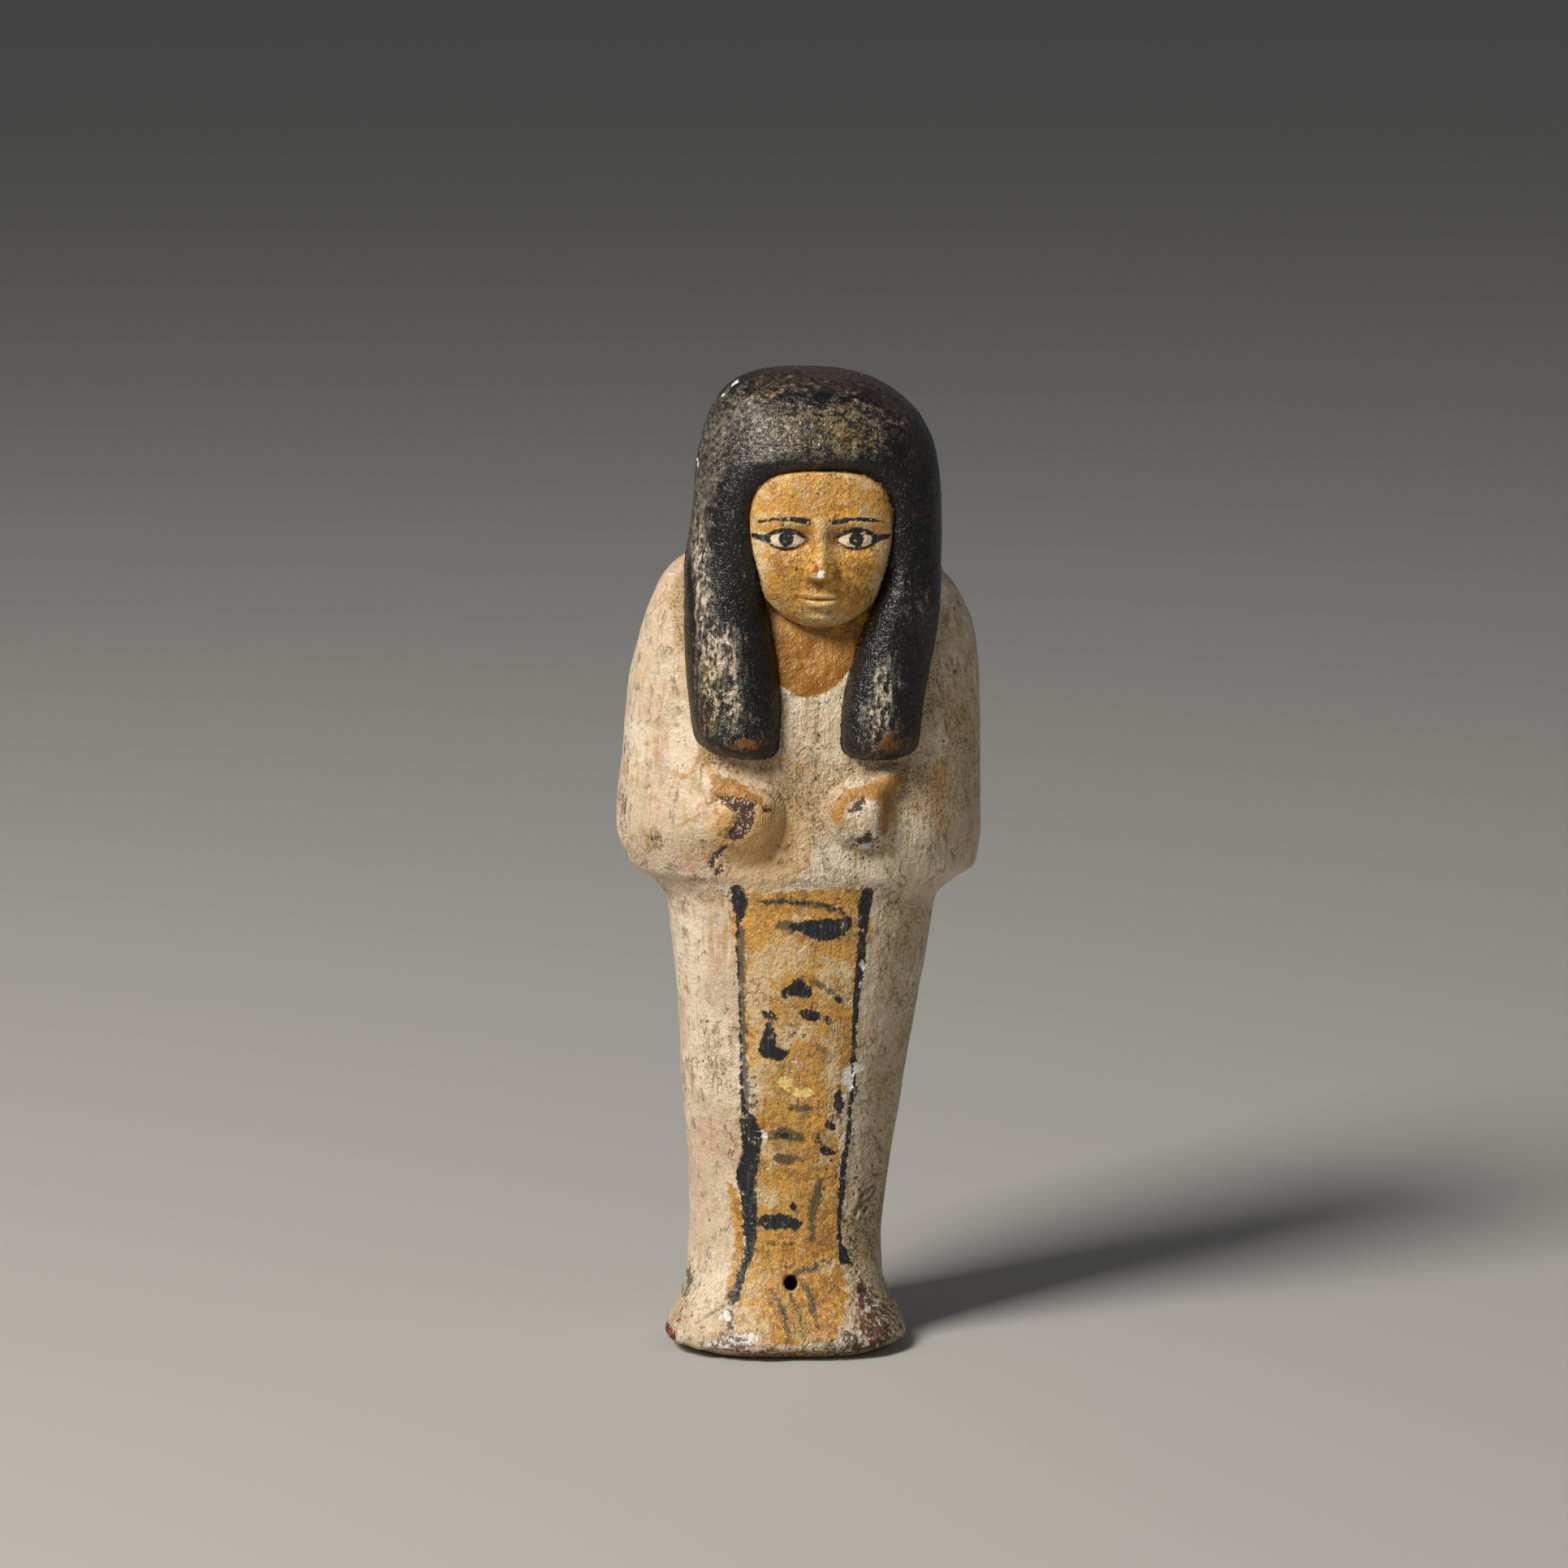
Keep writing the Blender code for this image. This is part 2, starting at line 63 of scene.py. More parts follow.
# The wrapped body, from the soles to inside the neck: edges left and right of the middle,
# and how far the front and the back stand from the upright axis.
BODY = np.array(
    [
        # height, left, right, front, back
        (0, -21, 18.2, 21.6, 14.2), (2.5, -24.2, 19.7, 22.9, 14.4), (5, -23.2, 18.6, 22.5, 14.3),
        (8, -21.6, 17, 20.6, 14.1), (12, -20.7, 15.6, 18, 13.8), (19, -20.3, 15.4, 15.1, 13.4),
        (26, -20, 16.1, 14.4, 13.2), (38, -20.5, 17.8, 14.9, 13.9), (52, -21.6, 20, 16, 15),
        (66, -22.2, 22.5, 17, 16.2), (77, -23.2, 24.3, 17.6, 17.2), (83.2, -24.4, 25.4, 17.8, 17.2),
        (87, -27.4, 29.2, 18.3, 17.1), (89.5, -31.2, 32.6, 19, 17.1), (96.5, -33.3, 33.4, 19.4, 17.2),
        (110, -31.9, 33.5, 18.6, 17.5), (122, -30.7, 33.2, 16.8, 17.6), (132, -28.7, 32.1, 14.6, 16.4),
        (139, -26.4, 29.3, 12.2, 13.6), (144, -23, 25, 9.4, 10.4), (148, -15.7, 18.8, 6.4, 7.2),
        (152, -5.1, 10.1, 3.5, 4),
    ]
)
BODY_SQUARENESS = 2.35
SOLE_ROUNDING = 3.8
SOLE_INSET = 3.0
# The foot is squarer than the legs, and wider at the toes than at the heel.
FOOT_SQUARENESS = 2.8
FOOT_TAPER = 0.12
FOOT_FADE = (5, 18)

# The wig as one mass: a flat fall of hair down the back, sides up to the temples, then a dome.
WIG = np.array(
    [
        # height, left, right, front, back
        (112, -14.2, 18.8, 6, 8), (119.6, -15.6, 20.3, 6, 14), (121.6, -16.6, 21.3, 6.5, 20.2),
        (128, -18.3, 22.9, 9, 20.4), (134, -20.1, 24.9, 13.5, 20.8), (141, -20.6, 25.7, 18.2, 21.4),
        (149, -19.6, 25.9, 21.3, 22), (157, -18.7, 26, 22.2, 22.2),
    ]
)
WIG_SQUARENESS = 2.8
DOME_SQUARENESS = 2.3
DOME_START = 157.0
DOME_ROUNDNESS = 2.45
CROWN_SHIFT = -3.2
DOME_TURN = (150, 168)
# Above the shoulders the plain body gives way to the neck.
NECK_TURN, NECK_DROP = (148, 152), 40.0
# How wide creases are filled: between the body and the wig, and round what lies on them.
MASS_CREASE, CREASE = 1.2, 0.8

# The opening of the wig, which frames the face and runs down between the two front lappets.
OPENING = np.array(
    [
        # height, left, right
        (106, -3.6, 7.7), (114, -3.3, 7.6), (120, -2.9, 8), (127, -3.5, 9.4), (133, -4.7, 11.6),
        (143.5, -6.7, 15.2), (151, -8.4, 16.8), (155, -8.7, 17.1), (164, -8.7, 17.1),
    ]
)
HAIRLINE_START = 153.0
HAIRLINE_TOP = 163.4
HAIRLINE_SQUARENESS = 2.9
HAIR_ROLL_WIDTH = 6.0
HAIR_ROLL_DEPTH = 3.6
OPENING_LIP = 0.4

# The two lappets: their outer edges, and how far their crests stand to the front.
# Their inner edges are the opening's.
LAPPETS = np.array(
    [
        # height, left, right, crest
        (106, -17.4, 21.1, 22.6), (112, -18.2, 21.7, 22.6), (119, -19.3, 22.5, 22),
        (127, -20.1, 23.9, 20.9), (134, -20.5, 25.2, 19.8), (143, -20.4, 25.8, 18.8),
        (152, -19.6, 25.8, 17.8),
    ]
)
# The height and the slant of each lappet's end.
LAPPET_ENDS = ((111.3, -0.14), (110.8, 0))
LAPPET_ROUNDNESS = 2.3
LAPPET_DEPTH = 9.0
LAPPET_END_ROUNDING = 4.2
LAPPET_END_POWER = 1.6 * LAPPET_ROUNDNESS
# How steeply a lappet falls away beyond its edges.
LAPPET_FALL = 4.0
LAPPET_TILT = 0.16
HAIR_MERGE = (138, 158)
# The heights over which the rolled hairline and the face begin, above the ends of the opening.
ROLL_START, FACE_START = (128, 136), (126, 130)

# The face, an egg-shaped mask that fills the opening. Its features are shares of its own size.
FACE_MIDDLE = 4.2
FACE_HALF_WIDTH = 13.8
FACE_TOP = 167.5
CHIN = 134.5
FACE_WIDEST_SHARE = 0.5
FACE_BACK = 13.4
FACE_SWELL = 8.0
FACE_ROUNDNESS = 2.7
FOREHEAD_SQUARENESS, JAW_SQUARENESS = 2.9, 2.0
# The features fade out from this share of the way to the mask's rim, and beyond it the mask falls away.
FACE_RIM = 0.8
FACE_FALL = 3.0

# The fists: middle across and up, reach to the left, right, down and up, and how far they stand out.
FISTS = (
    (-8.4, 101, 12.5, 5.9, 9.8, 6.4, 3.5),
    (12.9, 101.3, 8.7, 4, 6.8, 6.4, 4.2),
)
# How steep each fist's rim is: up and to the right, then down and to the left.
FIST_RIMS = ((0.62, 1.25), (0.5, 0.8))
# How gradually one steepness gives way to the other round a fist.
RIM_TURN = 0.9
# The wrists: two ends across and up, half width, and how far they stand out.
WRISTS = (
    (-14.8, 106.3, -9.5, 104.2, 3.4, 2.3),
    (16.3, 107.2, 12.6, 103.6, 3, 2.7),
)
# The forearms under the wrapping and the hollow between the fists: middle across and up, reach across
# and up, and rise.
CHEST_SWELLS = ((-20, 98.5, 9.5, 6.5, 1.4), (22, 98, 9.5, 6.5, 1.4), (1.2, 103, 4.5, 7, -0.7))

# Over these depths the carving on the front grows from nothing at the sides.
CARVED_EDGE, CHEST_EDGE = (0, 5), (0, 6)

# The ochre panel down the legs, which spreads over the foot.
PANEL = np.array(
    [
        # height, left, right
        (0, -11.4, 9.6), (6, -11.6, 10), (11, -11.4, 9.9), (15.5, -9.6, 8.4), (22, -8.1, 7.7),
        (33, -8, 7.8), (44, -8.7, 8.8), (59, -9.7, 10.3), (79, -10.3, 11.6), (87, -10.8, 12.4),
    ]
)
PANEL_TOP, PANEL_SLOPE = 86.9, 0.05
NECK_END = 122.6

# How finely the skin is divided.
ROWS = 366
# Columns in each sector, from the back round by the left, front and right, and how much closer together
# they lie at the sector's two edges.
COLUMN_COUNTS = (32, 18, 40, 80, 40, 18, 32)
CROWDING = (0, 0, 0.7, 0.3, 0.7, 0, 0)
# Rows lie this much closer together on the face, and round the hole in the instep.
FACE_ROW_WEIGHT = 1.7
HOLE_ROW_WEIGHT, HOLE_ROWS_REACH = 2.2, 2.2
SOLE_RINGS = 6
AXIS_BLEND = (124, 146)
INNER_ANGLE = math.radians(36)
OUTER_ANGLE = math.radians(66)
OUTER_SHARE = 0.72
# Heights over which the columns leave the legs for the chest, then the opening, then the lappets.
TO_CHEST, OFF_OPENING, OFF_LAPPETS = (94, 108), (158, 172), (136, 148)
# How finely an angle is searched for, and the grid that the rows' heights are measured on.
HALVINGS = 24
PROBE_ROWS, PROBE_COLUMNS = 2400, 24

# The hole pierced in the instep: place across and up, radius, depth and how soft its rim is.
HOLE_ACROSS, HOLE_UP = -1.2, 13.8
HOLE_RADIUS, HOLE_DEPTH, HOLE_RIM, HOLE_EDGE = 1.3, 3.2, 0.5, 0.1
# Round the hole, the clay that the stick pushed up: how high and how wide.
HOLE_LIP, HOLE_LIP_WIDTH = 0.1, 0.5


def smooth_step(low, high, value):
    """0 below low, 1 above high, and an S curve between."""
    t = np.clip((value - low) / (high - low), 0.0, 1.0)
    return t * t * (3.0 - 2.0 * t)


def smooth_max(a, b, width):
    """The larger of a and b, with the crease between them filled over this width."""
    share = np.clip(0.5 + 0.5 * (a - b) / width, 0.0, 1.0)
    return b + (a - b) * share + width * share * (1.0 - share)


def through(stations, column, height):
    """A column of a station table at these heights, on a monotone cubic through its points."""
    z, value = stations[:, 0], stations[:, column]
    step = np.diff(z)
    slope = np.diff(value) / step
    same = slope[:-1] * slope[1:] > 0
    weight = np.where(same, slope[:-1] * slope[1:], 0.0)
    inner = np.where(same, 2.0 * weight / np.where(same, slope[:-1] + slope[1:], 1.0), 0.0)
    tangent = np.concatenate([slope[:1], inner, slope[-1:]])
    height = np.clip(height, z[0], z[-1])
    i = np.clip(np.searchsorted(z, height) - 1, 0, len(z) - 2)
    t = (height - z[i]) / step[i]
    return (
        value[i] * (1 + 2 * t) * (1 - t) ** 2
        + value[i + 1] * t * t * (3 - 2 * t)
        + step[i] * (tangent[i] * t * (1 - t) ** 2 + tangent[i + 1] * t * t * (t - 1))
    )


def section_radius(angle, left, right, front, back, squareness):
    """Distance from the axis to a rounded outline with a reach to each side. Angle 0 looks to the front."""
    across = np.abs(np.sin(angle)) / np.where(np.sin(angle) > 0, right, left)
    along = np.abs(np.cos(angle)) / np.where(np.cos(angle) > 0, front, back)
    return (across**squareness + along**squareness) ** (-1.0 / squareness)


def axis_across(z):
    """The upright line that the sections are drawn about: the middle of the body, then of the head."""
    body = (through(BODY, 1, z) + through(BODY, 2, z)) / 2
    wig = (through(WIG, 1, z) + through(WIG, 2, z)) / 2 + crown_shift(z)
    return body + (wig - body) * smooth_step(*AXIS_BLEND, z)


def dome_rise(z):
    """0 where the dome of the wig starts, 1 at the crown."""
    return np.clip((z - DOME_START) / (DESIGN_HEIGHT - DOME_START), 0.0, 1.0)


def crown_shift(z):
    """How far the dome leans to one side, growing with the cube of its rise."""
    return CROWN_SHIFT * dome_rise(z) ** 3


def on_foot(z):
    """1 on the foot, fading to 0 up the ankle."""
    return 1.0 - smooth_step(*FOOT_FADE, z)


def body_radius(angle, z):
    """The body's section at each height, drawn in at the sole by a quarter circle."""
    middle = axis_across(z)
    left, right, front, back = (through(BODY, column, z) for column in (1, 2, 3, 4))
    reach = middle - left, right - middle, front, back
    near_sole = np.clip(1.0 - z / SOLE_ROUNDING, 0.0, 1.0)
    inset = SOLE_INSET * (1.0 - np.sqrt(1.0 - near_sole**2))
    squareness = BODY_SQUARENESS + (FOOT_SQUARENESS - BODY_SQUARENESS) * on_foot(z)
    radius = section_radius(angle, *[np.maximum(r, 1.0) for r in reach], squareness) - inset
    return np.where(z > BODY[-1, 0], 0.0, radius)


def wig_radius(angle, z):
    """The wig's section at each height, closed at the crown by a superellipse."""
    middle = axis_across(z)
    dome = (1.0 - dome_rise(z) ** DOME_ROUNDNESS) ** (1.0 / DOME_ROUNDNESS)
    left, right, front, back = (through(WIG, column, z) for column in (1, 2, 3, 4))
    half_width = (right - left) / 2 * dome
    shift = (left + right) / 2 + crown_shift(z) - middle
    reach = half_width - shift, half_width + shift, front * dome, back * dome
    squareness = WIG_SQUARENESS + (DOME_SQUARENESS - WIG_SQUARENESS) * smooth_step(*DOME_TURN, z)
    radius = section_radius(angle, *[np.maximum(r, 1e-6) for r in reach], squareness)
    return np.where(z < WIG[0, 0], 0.0, radius)


def mass_radius(angle, z):
    """The body and the wig as one plain mass, before anything is carved on it."""
    return smooth_max(body_radius(angle, z), wig_radius(angle, z), MASS_CREASE)


def body_front(x, z):
    """How far the plain body stands to the front at this place, as if nothing lay on it."""
    middle = axis_across(z)
    reach = np.where(x > middle, through(BODY, 2, z) - middle, middle - through(BODY, 1, z))
    u = np.clip(np.abs(x - middle) / np.maximum(reach, 1.0), 0.0, 1.0)
    stands = through(BODY, 3, z) * (1.0 - u**BODY_SQUARENESS) ** (1.0 / BODY_SQUARENESS)
    return stands - NECK_DROP * smooth_step(*NECK_TURN, z)


def opening_distance(x, z):
    """Distance in from the opening's edge is negative, and out on the hair positive."""
    left, right = through(OPENING, 1, z), through(OPENING, 2, z)
    half = (right - left) / 2
    across = np.abs(x - (left + right) / 2) / half
    up = np.clip((z - HAIRLINE_START) / (HAIRLINE_TOP - HAIRLINE_START), 0.0, None)
    power = HAIRLINE_SQUARENESS
    return ((across**power + up**power) ** (1.0 / power) - 1.0) * half


def bar_edge(x, z, left, right, end, slant):
    """0 along the middle of a bar of hair and 1 at its edges: across plus down, each to a power."""
    half = (right - left) / 2
    across = (x - (left + right) / 2) / half
    cut = end + slant * across * half
    down = np.clip((cut + LAPPET_END_ROUNDING - z) / LAPPET_END_ROUNDING, 0.0, None)
    return across, half, np.abs(across) ** LAPPET_ROUNDNESS + down**LAPPET_END_POWER


def hair_bar(x, z, side, crest, tilt):
    """How far a bar of hair stands out: rounded from its crest to both edges and to its cut end."""
    across, half, edge = bar_edge(x, z, *side)
    dome = np.clip(1.0 - edge, 0.0, 1.0) ** (1.0 / LAPPET_ROUNDNESS)
    outside = np.maximum(edge - 1.0, 0.0) * LAPPET_FALL
    return crest - LAPPET_DEPTH * (1.0 - dome) - outside + tilt * across * half


def lappet_sides(z):
    """The left and right edge of each lappet, with the height and slant of its end."""
    left_end, right_end = LAPPET_ENDS
    left = through(LAPPETS, 1, z), through(OPENING, 1, z), *left_end
    right = through(OPENING, 2, z), through(LAPPETS, 2, z), *right_end
    return left, right


def lappets(x, z):
    """The two front lappets, which slope down towards the shoulders."""
    crest = through(LAPPETS, 3, z)
    left, right = lappet_sides(z)
    return np.maximum(hair_bar(x, z, left, crest, LAPPET_TILT), hair_bar(x, z, right, crest, -LAPPET_TILT))


def knob(x, z, middle, height, left, right, down, up, rims):
    """A dome from 1 at its middle to 0 at its rim, with its own reach to each side and two steepnesses."""
    u = (x - middle) / np.where(x > middle, right, left)
    v = (z - height) / np.where(z > height, up, down)
    crisp = smooth_step(-RIM_TURN, RIM_TURN, (u + v) / np.maximum(np.hypot(u, v), 0.05))
    power = rims[1] + (rims[0] - rims[1]) * crisp
    return np.clip(1.0 - u * u - v * v, 0.0, 1.0) ** power


def soft_bump(x, z, middle, height, half_width, half_height):
    """A bell with no rim, 1 at its middle."""
    return np.exp(-(((x - middle) / half_width) ** 2) - ((z - height) / half_height) ** 2)


def swells(x, z, table):
    """The sum of bells, from a table of their middles across and up, reaches across and up, and rises."""
    return sum(rise * soft_bump(x, z, *bell) for *bell, rise in table)


def from_line(x, z, x0, z0, x1, z1):
    """Distance from a straight line between two places, and how far along it the nearest point lies."""
    run, climb = x1 - x0, z1 - z0
    along = np.clip(((x - x0) * run + (z - z0) * climb) / (run * run + climb * climb), 0.0, 1.0)
    return np.hypot(x - x0 - run * along, z - z0 - climb * along), along


# The face's own plan: thirds from hairline to chin, with the eyes, nose and mouth as shares of a third.
THIRD = (HAIRLINE_TOP - CHIN) / 3
BROW, NOSE_FOOT = HAIRLINE_TOP - THIRD, CHIN + THIRD
EYE, MOUTH = BROW - 0.27 * THIRD, CHIN + 0.62 * THIRD
EYE_OUT = 0.46 * FACE_HALF_WIDTH
EYE_HALF_WIDTH, EYE_HALF_HEIGHT = 3.6, 1.35
LID_MARGIN, LID_ROUNDNESS, LID_RISE = 0.25, 0.7, 0.95
# Bells on both sides of the face: the brow's edge, the eye's socket and its inner corner, beside the
# nostril, under the nose, the corner of the mouth, under the lip, the chin and the cheek.
FACE_SWELLS = (
    (0.95 * EYE_OUT, BROW + 0.2, 4.8, 1.5, 0.55),
    (0.9 * EYE_OUT, EYE + 0.2, 4.0, 2.3, -1.1),
    (2.7, EYE + 0.5, 1.2, 2.2, -0.5),
    (3.3, NOSE_FOOT + 0.5, 0.6, 1.3, -0.3),
    (0.0, MOUTH + 2.2, 0.6, 0.9, -0.25),
    (4.1, MOUTH, 0.8, 0.8, -0.35),
    (0.0, MOUTH - 2.7, 2.6, 0.8, -0.45),
    (0.0, CHIN + 0.22 * THIRD, 3.2, 2.1, 1.1),
    (0.56 * FACE_HALF_WIDTH, (EYE + MOUTH) / 2, 4.2, 3.8, 0.6),
)
# Bars across the face: middle out and up, how they bend, half width, half height and rise. They are the
# fold over the eye, the two lips and the line between them.
FACE_BARS = (
    (EYE_OUT, EYE + 1.75, -0.1, 4.2, 0.42, 0.28),
    (0.0, MOUTH + 0.75, -0.03, 4.2, 0.7, 0.85),
    (0.0, MOUTH - 0.9, 0.03, 3.6, 0.85, 1.0),
    (0.0, MOUTH - 0.05, 0.012, 4.3, 0.26, -0.65),
)
# The height where the nose's ridge starts. Its half width and its rise grow from there to its foot, where
# its tip and its two wings swell, and it fades out below its foot and over the brow.
NOSE_TOP = BROW + 0.5
NOSE_WIDTH, NOSE_WIDENING = 1.35, 0.9
NOSE_RISE, NOSE_GROWTH, NOSE_POWER = 0.6, 1.7, 1.3
NOSE_SWELLS = ((0.0, NOSE_FOOT + 1.3, 1.6, 1.5, 0.8), (1.95, NOSE_FOOT + 0.95, 0.9, 1.0, 0.8))
NOSE_END, NOSE_START = (NOSE_FOOT - 0.7, NOSE_FOOT + 0.7), (BROW - 1.0, BROW + 3.0)


def arched(away, z, height, bend, half_width, half_height):
    """A soft bar along a parabola, 1 at its middle, that dies away to both ends as another parabola."""
    bell = np.exp(-(((z - height - bend * away**2) / half_height) ** 2))
    return bell * np.clip(1.0 - (away / half_width) ** 2, 0.0, 1.0)


def eyelid(side, z):
    """A dome from 1 at its middle to 0 at an oval rim, a little taller than the painted eye."""
    u, v = (side - EYE_OUT) / EYE_HALF_WIDTH, (z - EYE) / (EYE_HALF_HEIGHT + LID_MARGIN)
    return np.clip(1.0 - u * u - v * v, 0.0, 1.0) ** LID_ROUNDNESS


def face_features(x, z):
    """Relief of a calm, plain face on the usual thirds: brows, lidded eyes, nose, lips and chin."""
    side = np.abs(x - FACE_MIDDLE)
    relief = swells(side, z, FACE_SWELLS) + LID_RISE * eyelid(side, z)
    for middle, height, bend, half_width, half_height, rise in FACE_BARS:
        relief = relief + rise * arched(side - middle, z, height, bend, half_width, half_height)
    along = np.clip((NOSE_TOP - z) / (NOSE_TOP - NOSE_FOOT), 0.0, 1.0)
    width, rise = NOSE_WIDTH + NOSE_WIDENING * along, NOSE_RISE + NOSE_GROWTH * along**NOSE_POWER
    nose = rise * np.exp(-((side / width) ** 2)) + swells(side, z, NOSE_SWELLS)
    return relief + nose * smooth_step(*NOSE_END, z) * (1.0 - smooth_step(*NOSE_START, z))


def face_front(x, z):
    """How far the face stands to the front: a domed egg, with its features on it."""
    widest = CHIN + FACE_WIDEST_SHARE * (FACE_TOP - CHIN)
    rise = np.where(z > widest, FACE_TOP - widest, widest - CHIN)
    across, up = np.abs(x - FACE_MIDDLE) / FACE_HALF_WIDTH, np.abs(z - widest) / rise
    power = np.where(z > widest, FOREHEAD_SQUARENESS, JAW_SQUARENESS)
    from_middle = (across**power + up**power) ** (1.0 / power)
    q = np.clip(from_middle, 0.0, 1.0)
    dome = (1.0 - q**FACE_ROUNDNESS) ** (1.0 / FACE_ROUNDNESS)
    fade = 1.0 - smooth_step(FACE_RIM, 1.0, q)
    outside = np.maximum(from_middle - 1.0, 0.0) * FACE_HALF_WIDTH * FACE_FALL
    return FACE_BACK + FACE_SWELL * dome - outside + face_features(x, z) * fade


def chest_relief(x, z):
    """The forearms under the wrapping, the two fists with their wrists, and the hollow between them."""
    relief = swells(x, z, CHEST_SWELLS)
    for (*fist, fist_swell), (*wrist, wrist_swell), rims in zip(FISTS, WRISTS, FIST_RIMS):
        *ends, half_width = wrist
        away, _ = from_line(x, z, *ends)
        ridge = np.clip(1.0 - (away / half_width) ** 2, 0.0, 1.0)
        hand = (fist_swell * knob(x, z, *fist, rims)) ** 3 + (wrist_swell * ridge) ** 3
        relief = relief + hand ** (1.0 / 3.0)
    return relief


def front_depth(x, z, base):
    """How far the finished front stands out, where the plain mass stands out by base."""
    distance = opening_distance(x, z)
    roll = np.clip(1.0 - distance / HAIR_ROLL_WIDTH, 0.0, 1.0)
    rolled = base - smooth_step(*ROLL_START, z) * HAIR_ROLL_DEPTH * (1.0 - np.sqrt(1.0 - roll**2))
    on_top = smooth_max(rolled, lappets(x, z), CREASE) - rolled
    outer = rolled + on_top * (1.0 - smooth_step(*HAIR_MERGE, z))
    inner = smooth_max(face_front(x, z), body_front(x, z), CREASE)
    inside = 1.0 - smooth_step(-OPENING_LIP, OPENING_LIP, distance)
    in_opening = inside * smooth_step(*FACE_START, z)
    on_chest = chest_relief(x, z) * smooth_step(*CHEST_EDGE, base)
    return outer + (inner - outer) * in_opening + on_chest


def surface(angle, z):
    """The figure's skin: a point for each angle about the axis and each height, in design millimetres."""
    radius = mass_radius(angle, z)
    depth = radius * np.cos(angle)
    flare = 1.0 + FOOT_TAPER * on_foot(z) * depth / through(BODY, 3, z)
    x = axis_across(z) + radius * np.sin(angle) * flare
    carved = depth + (front_depth(x, z, depth) - depth) * smooth_step(*CARVED_EDGE, depth)
    return np.stack([x, -np.where(depth > 0, carved, depth), z + np.zeros_like(x)], axis=-1)


def angle_at(x, z):
    """The angle about the axis at which the front of the plain mass is this far across, by halving."""
    low, high = np.full_like(z, -math.pi / 2), np.full_like(z, math.pi / 2)
    for _ in range(HALVINGS):
        middle = (low + high) / 2
        beyond = axis_across(z) + mass_radius(middle, z) * np.sin(middle) > x
        low, high = np.where(beyond, low, middle), np.where(beyond, middle, high)
    return (low + high) / 2


def guide_angles(z):
    """Angles of the lines that the columns follow, from the back round by the left, front and right."""
    on_chest, above, beside = (smooth_step(*span, z) for span in (TO_CHEST, OFF_OPENING, OFF_LAPPETS))
    inner, outer = [], []
    for column, side in ((1, -1), (2, 1)):
        panel, thigh = through(PANEL, column, z), through(BODY, column, z) * OUTER_SHARE
        opening, lappet = through(OPENING, column, z), through(LAPPETS, column, z)
        near = angle_at(panel + (opening - panel) * on_chest, z)
        far = angle_at(thigh + (lappet - thigh) * on_chest, z)
        inner.append(near * (1 - above) + side * INNER_ANGLE * above)
        outer.append(far * (1 - beside) + side * OUTER_ANGLE * beside)
    quarter, half = np.full_like(z, math.pi / 2), np.full_like(z, math.pi)
    return np.stack([-half, -quarter, outer[0], inner[0], inner[1], outer[1], quarter, half])


def column_angles(z):
    """An angle for each column and height: each sector shared out, closer together at a lappet's edges."""
    guides = guide_angles(z)
    columns = []
    for start, end, count, crowd in zip(guides[:-1], guides[1:], COLUMN_COUNTS, CROWDING):
        t = np.arange(count) / count
        t = t + crowd * ((1.0 - np.cos(math.pi * t)) / 2 - t)
        columns.append(start + (end - start) * t[:, None])
    return np.concatenate(columns)


def row_heights():
    """Heights from sole to crown, spaced by the way along the skin, closer on the face and at the hole."""
    rise = 1.0 - np.linspace(1.0, 0.0, PROBE_ROWS) ** 2
    fine = rise * DESIGN_HEIGHT
    probe = surface(np.linspace(-math.pi, math.pi, PROBE_COLUMNS + 1)[:-1, None], fine[None, :])
    steps = np.linalg.norm(np.diff(probe, axis=1), axis=-1).max(axis=0)
    middle = (fine[1:] + fine[:-1]) / 2
    on_face = smooth_step(CHIN - 4, CHIN, middle)
    on_face = on_face * (1 - smooth_step(HAIRLINE_TOP + 1, HAIRLINE_TOP + 5, middle))
    at_hole = np.exp(-(((middle - HOLE_UP) / HOLE_ROWS_REACH) ** 4))
    weight = 1 + (FACE_ROW_WEIGHT - 1) * on_face + (HOLE_ROW_WEIGHT - 1) * at_hole
    travelled = np.concatenate([[0.0], np.cumsum(steps * weight)])
    return np.interp(np.linspace(0.0, travelled[-1], ROWS + 1)[:-1], travelled, fine)


# Any large numbers that share no factor would serve here.
CORNER_TURNS, SEED_TURN, SINE_SPREAD = np.array([127.1, 311.7, 74.7]), 53.3, 43758.5453


def corner_value(cell, seed):
    """A repeatable number from 0 to 1 for each whole-numbered corner: the fraction of a large sine of it."""
    return np.sin(cell @ CORNER_TURNS + seed * SEED_TURN) * SINE_SPREAD % 1.0


def uneven(points, size, seed):
    """A smooth random swell from -1 to 1: values at the corners of cubes this size, blended by S curves."""
    scaled = points / size
    cell = np.floor(scaled)
    t = scaled - cell
    t = t * t * (3.0 - 2.0 * t)
    total = 0.0
    for corner in np.ndindex(2, 2, 2):
        share = np.prod(np.where(corner, t, 1.0 - t), axis=-1)
        total = total + share * corner_value(cell + corner, seed)
    return total * 2.0 - 1.0


# A stroke is this much wider than its half widths say, and its distance starts from far outside.
STROKE_SPREAD, NO_STROKE = 0.14, -99.0


def brush_stroke(x, z, route):
    """Distance inside a stroke along places with half widths, negative outside: the best of its legs."""
    inside = np.full(x.shape, NO_STROKE)
    for (x0, z0, w0), (x1, z1, w1) in zip(route[:-1], route[1:]):
        away, along = from_line(x, z, x0, z0, x1, z1)
        inside = np.maximum(inside, w0 + (w1 - w0) * along - away)
    return inside + STROKE_SPREAD


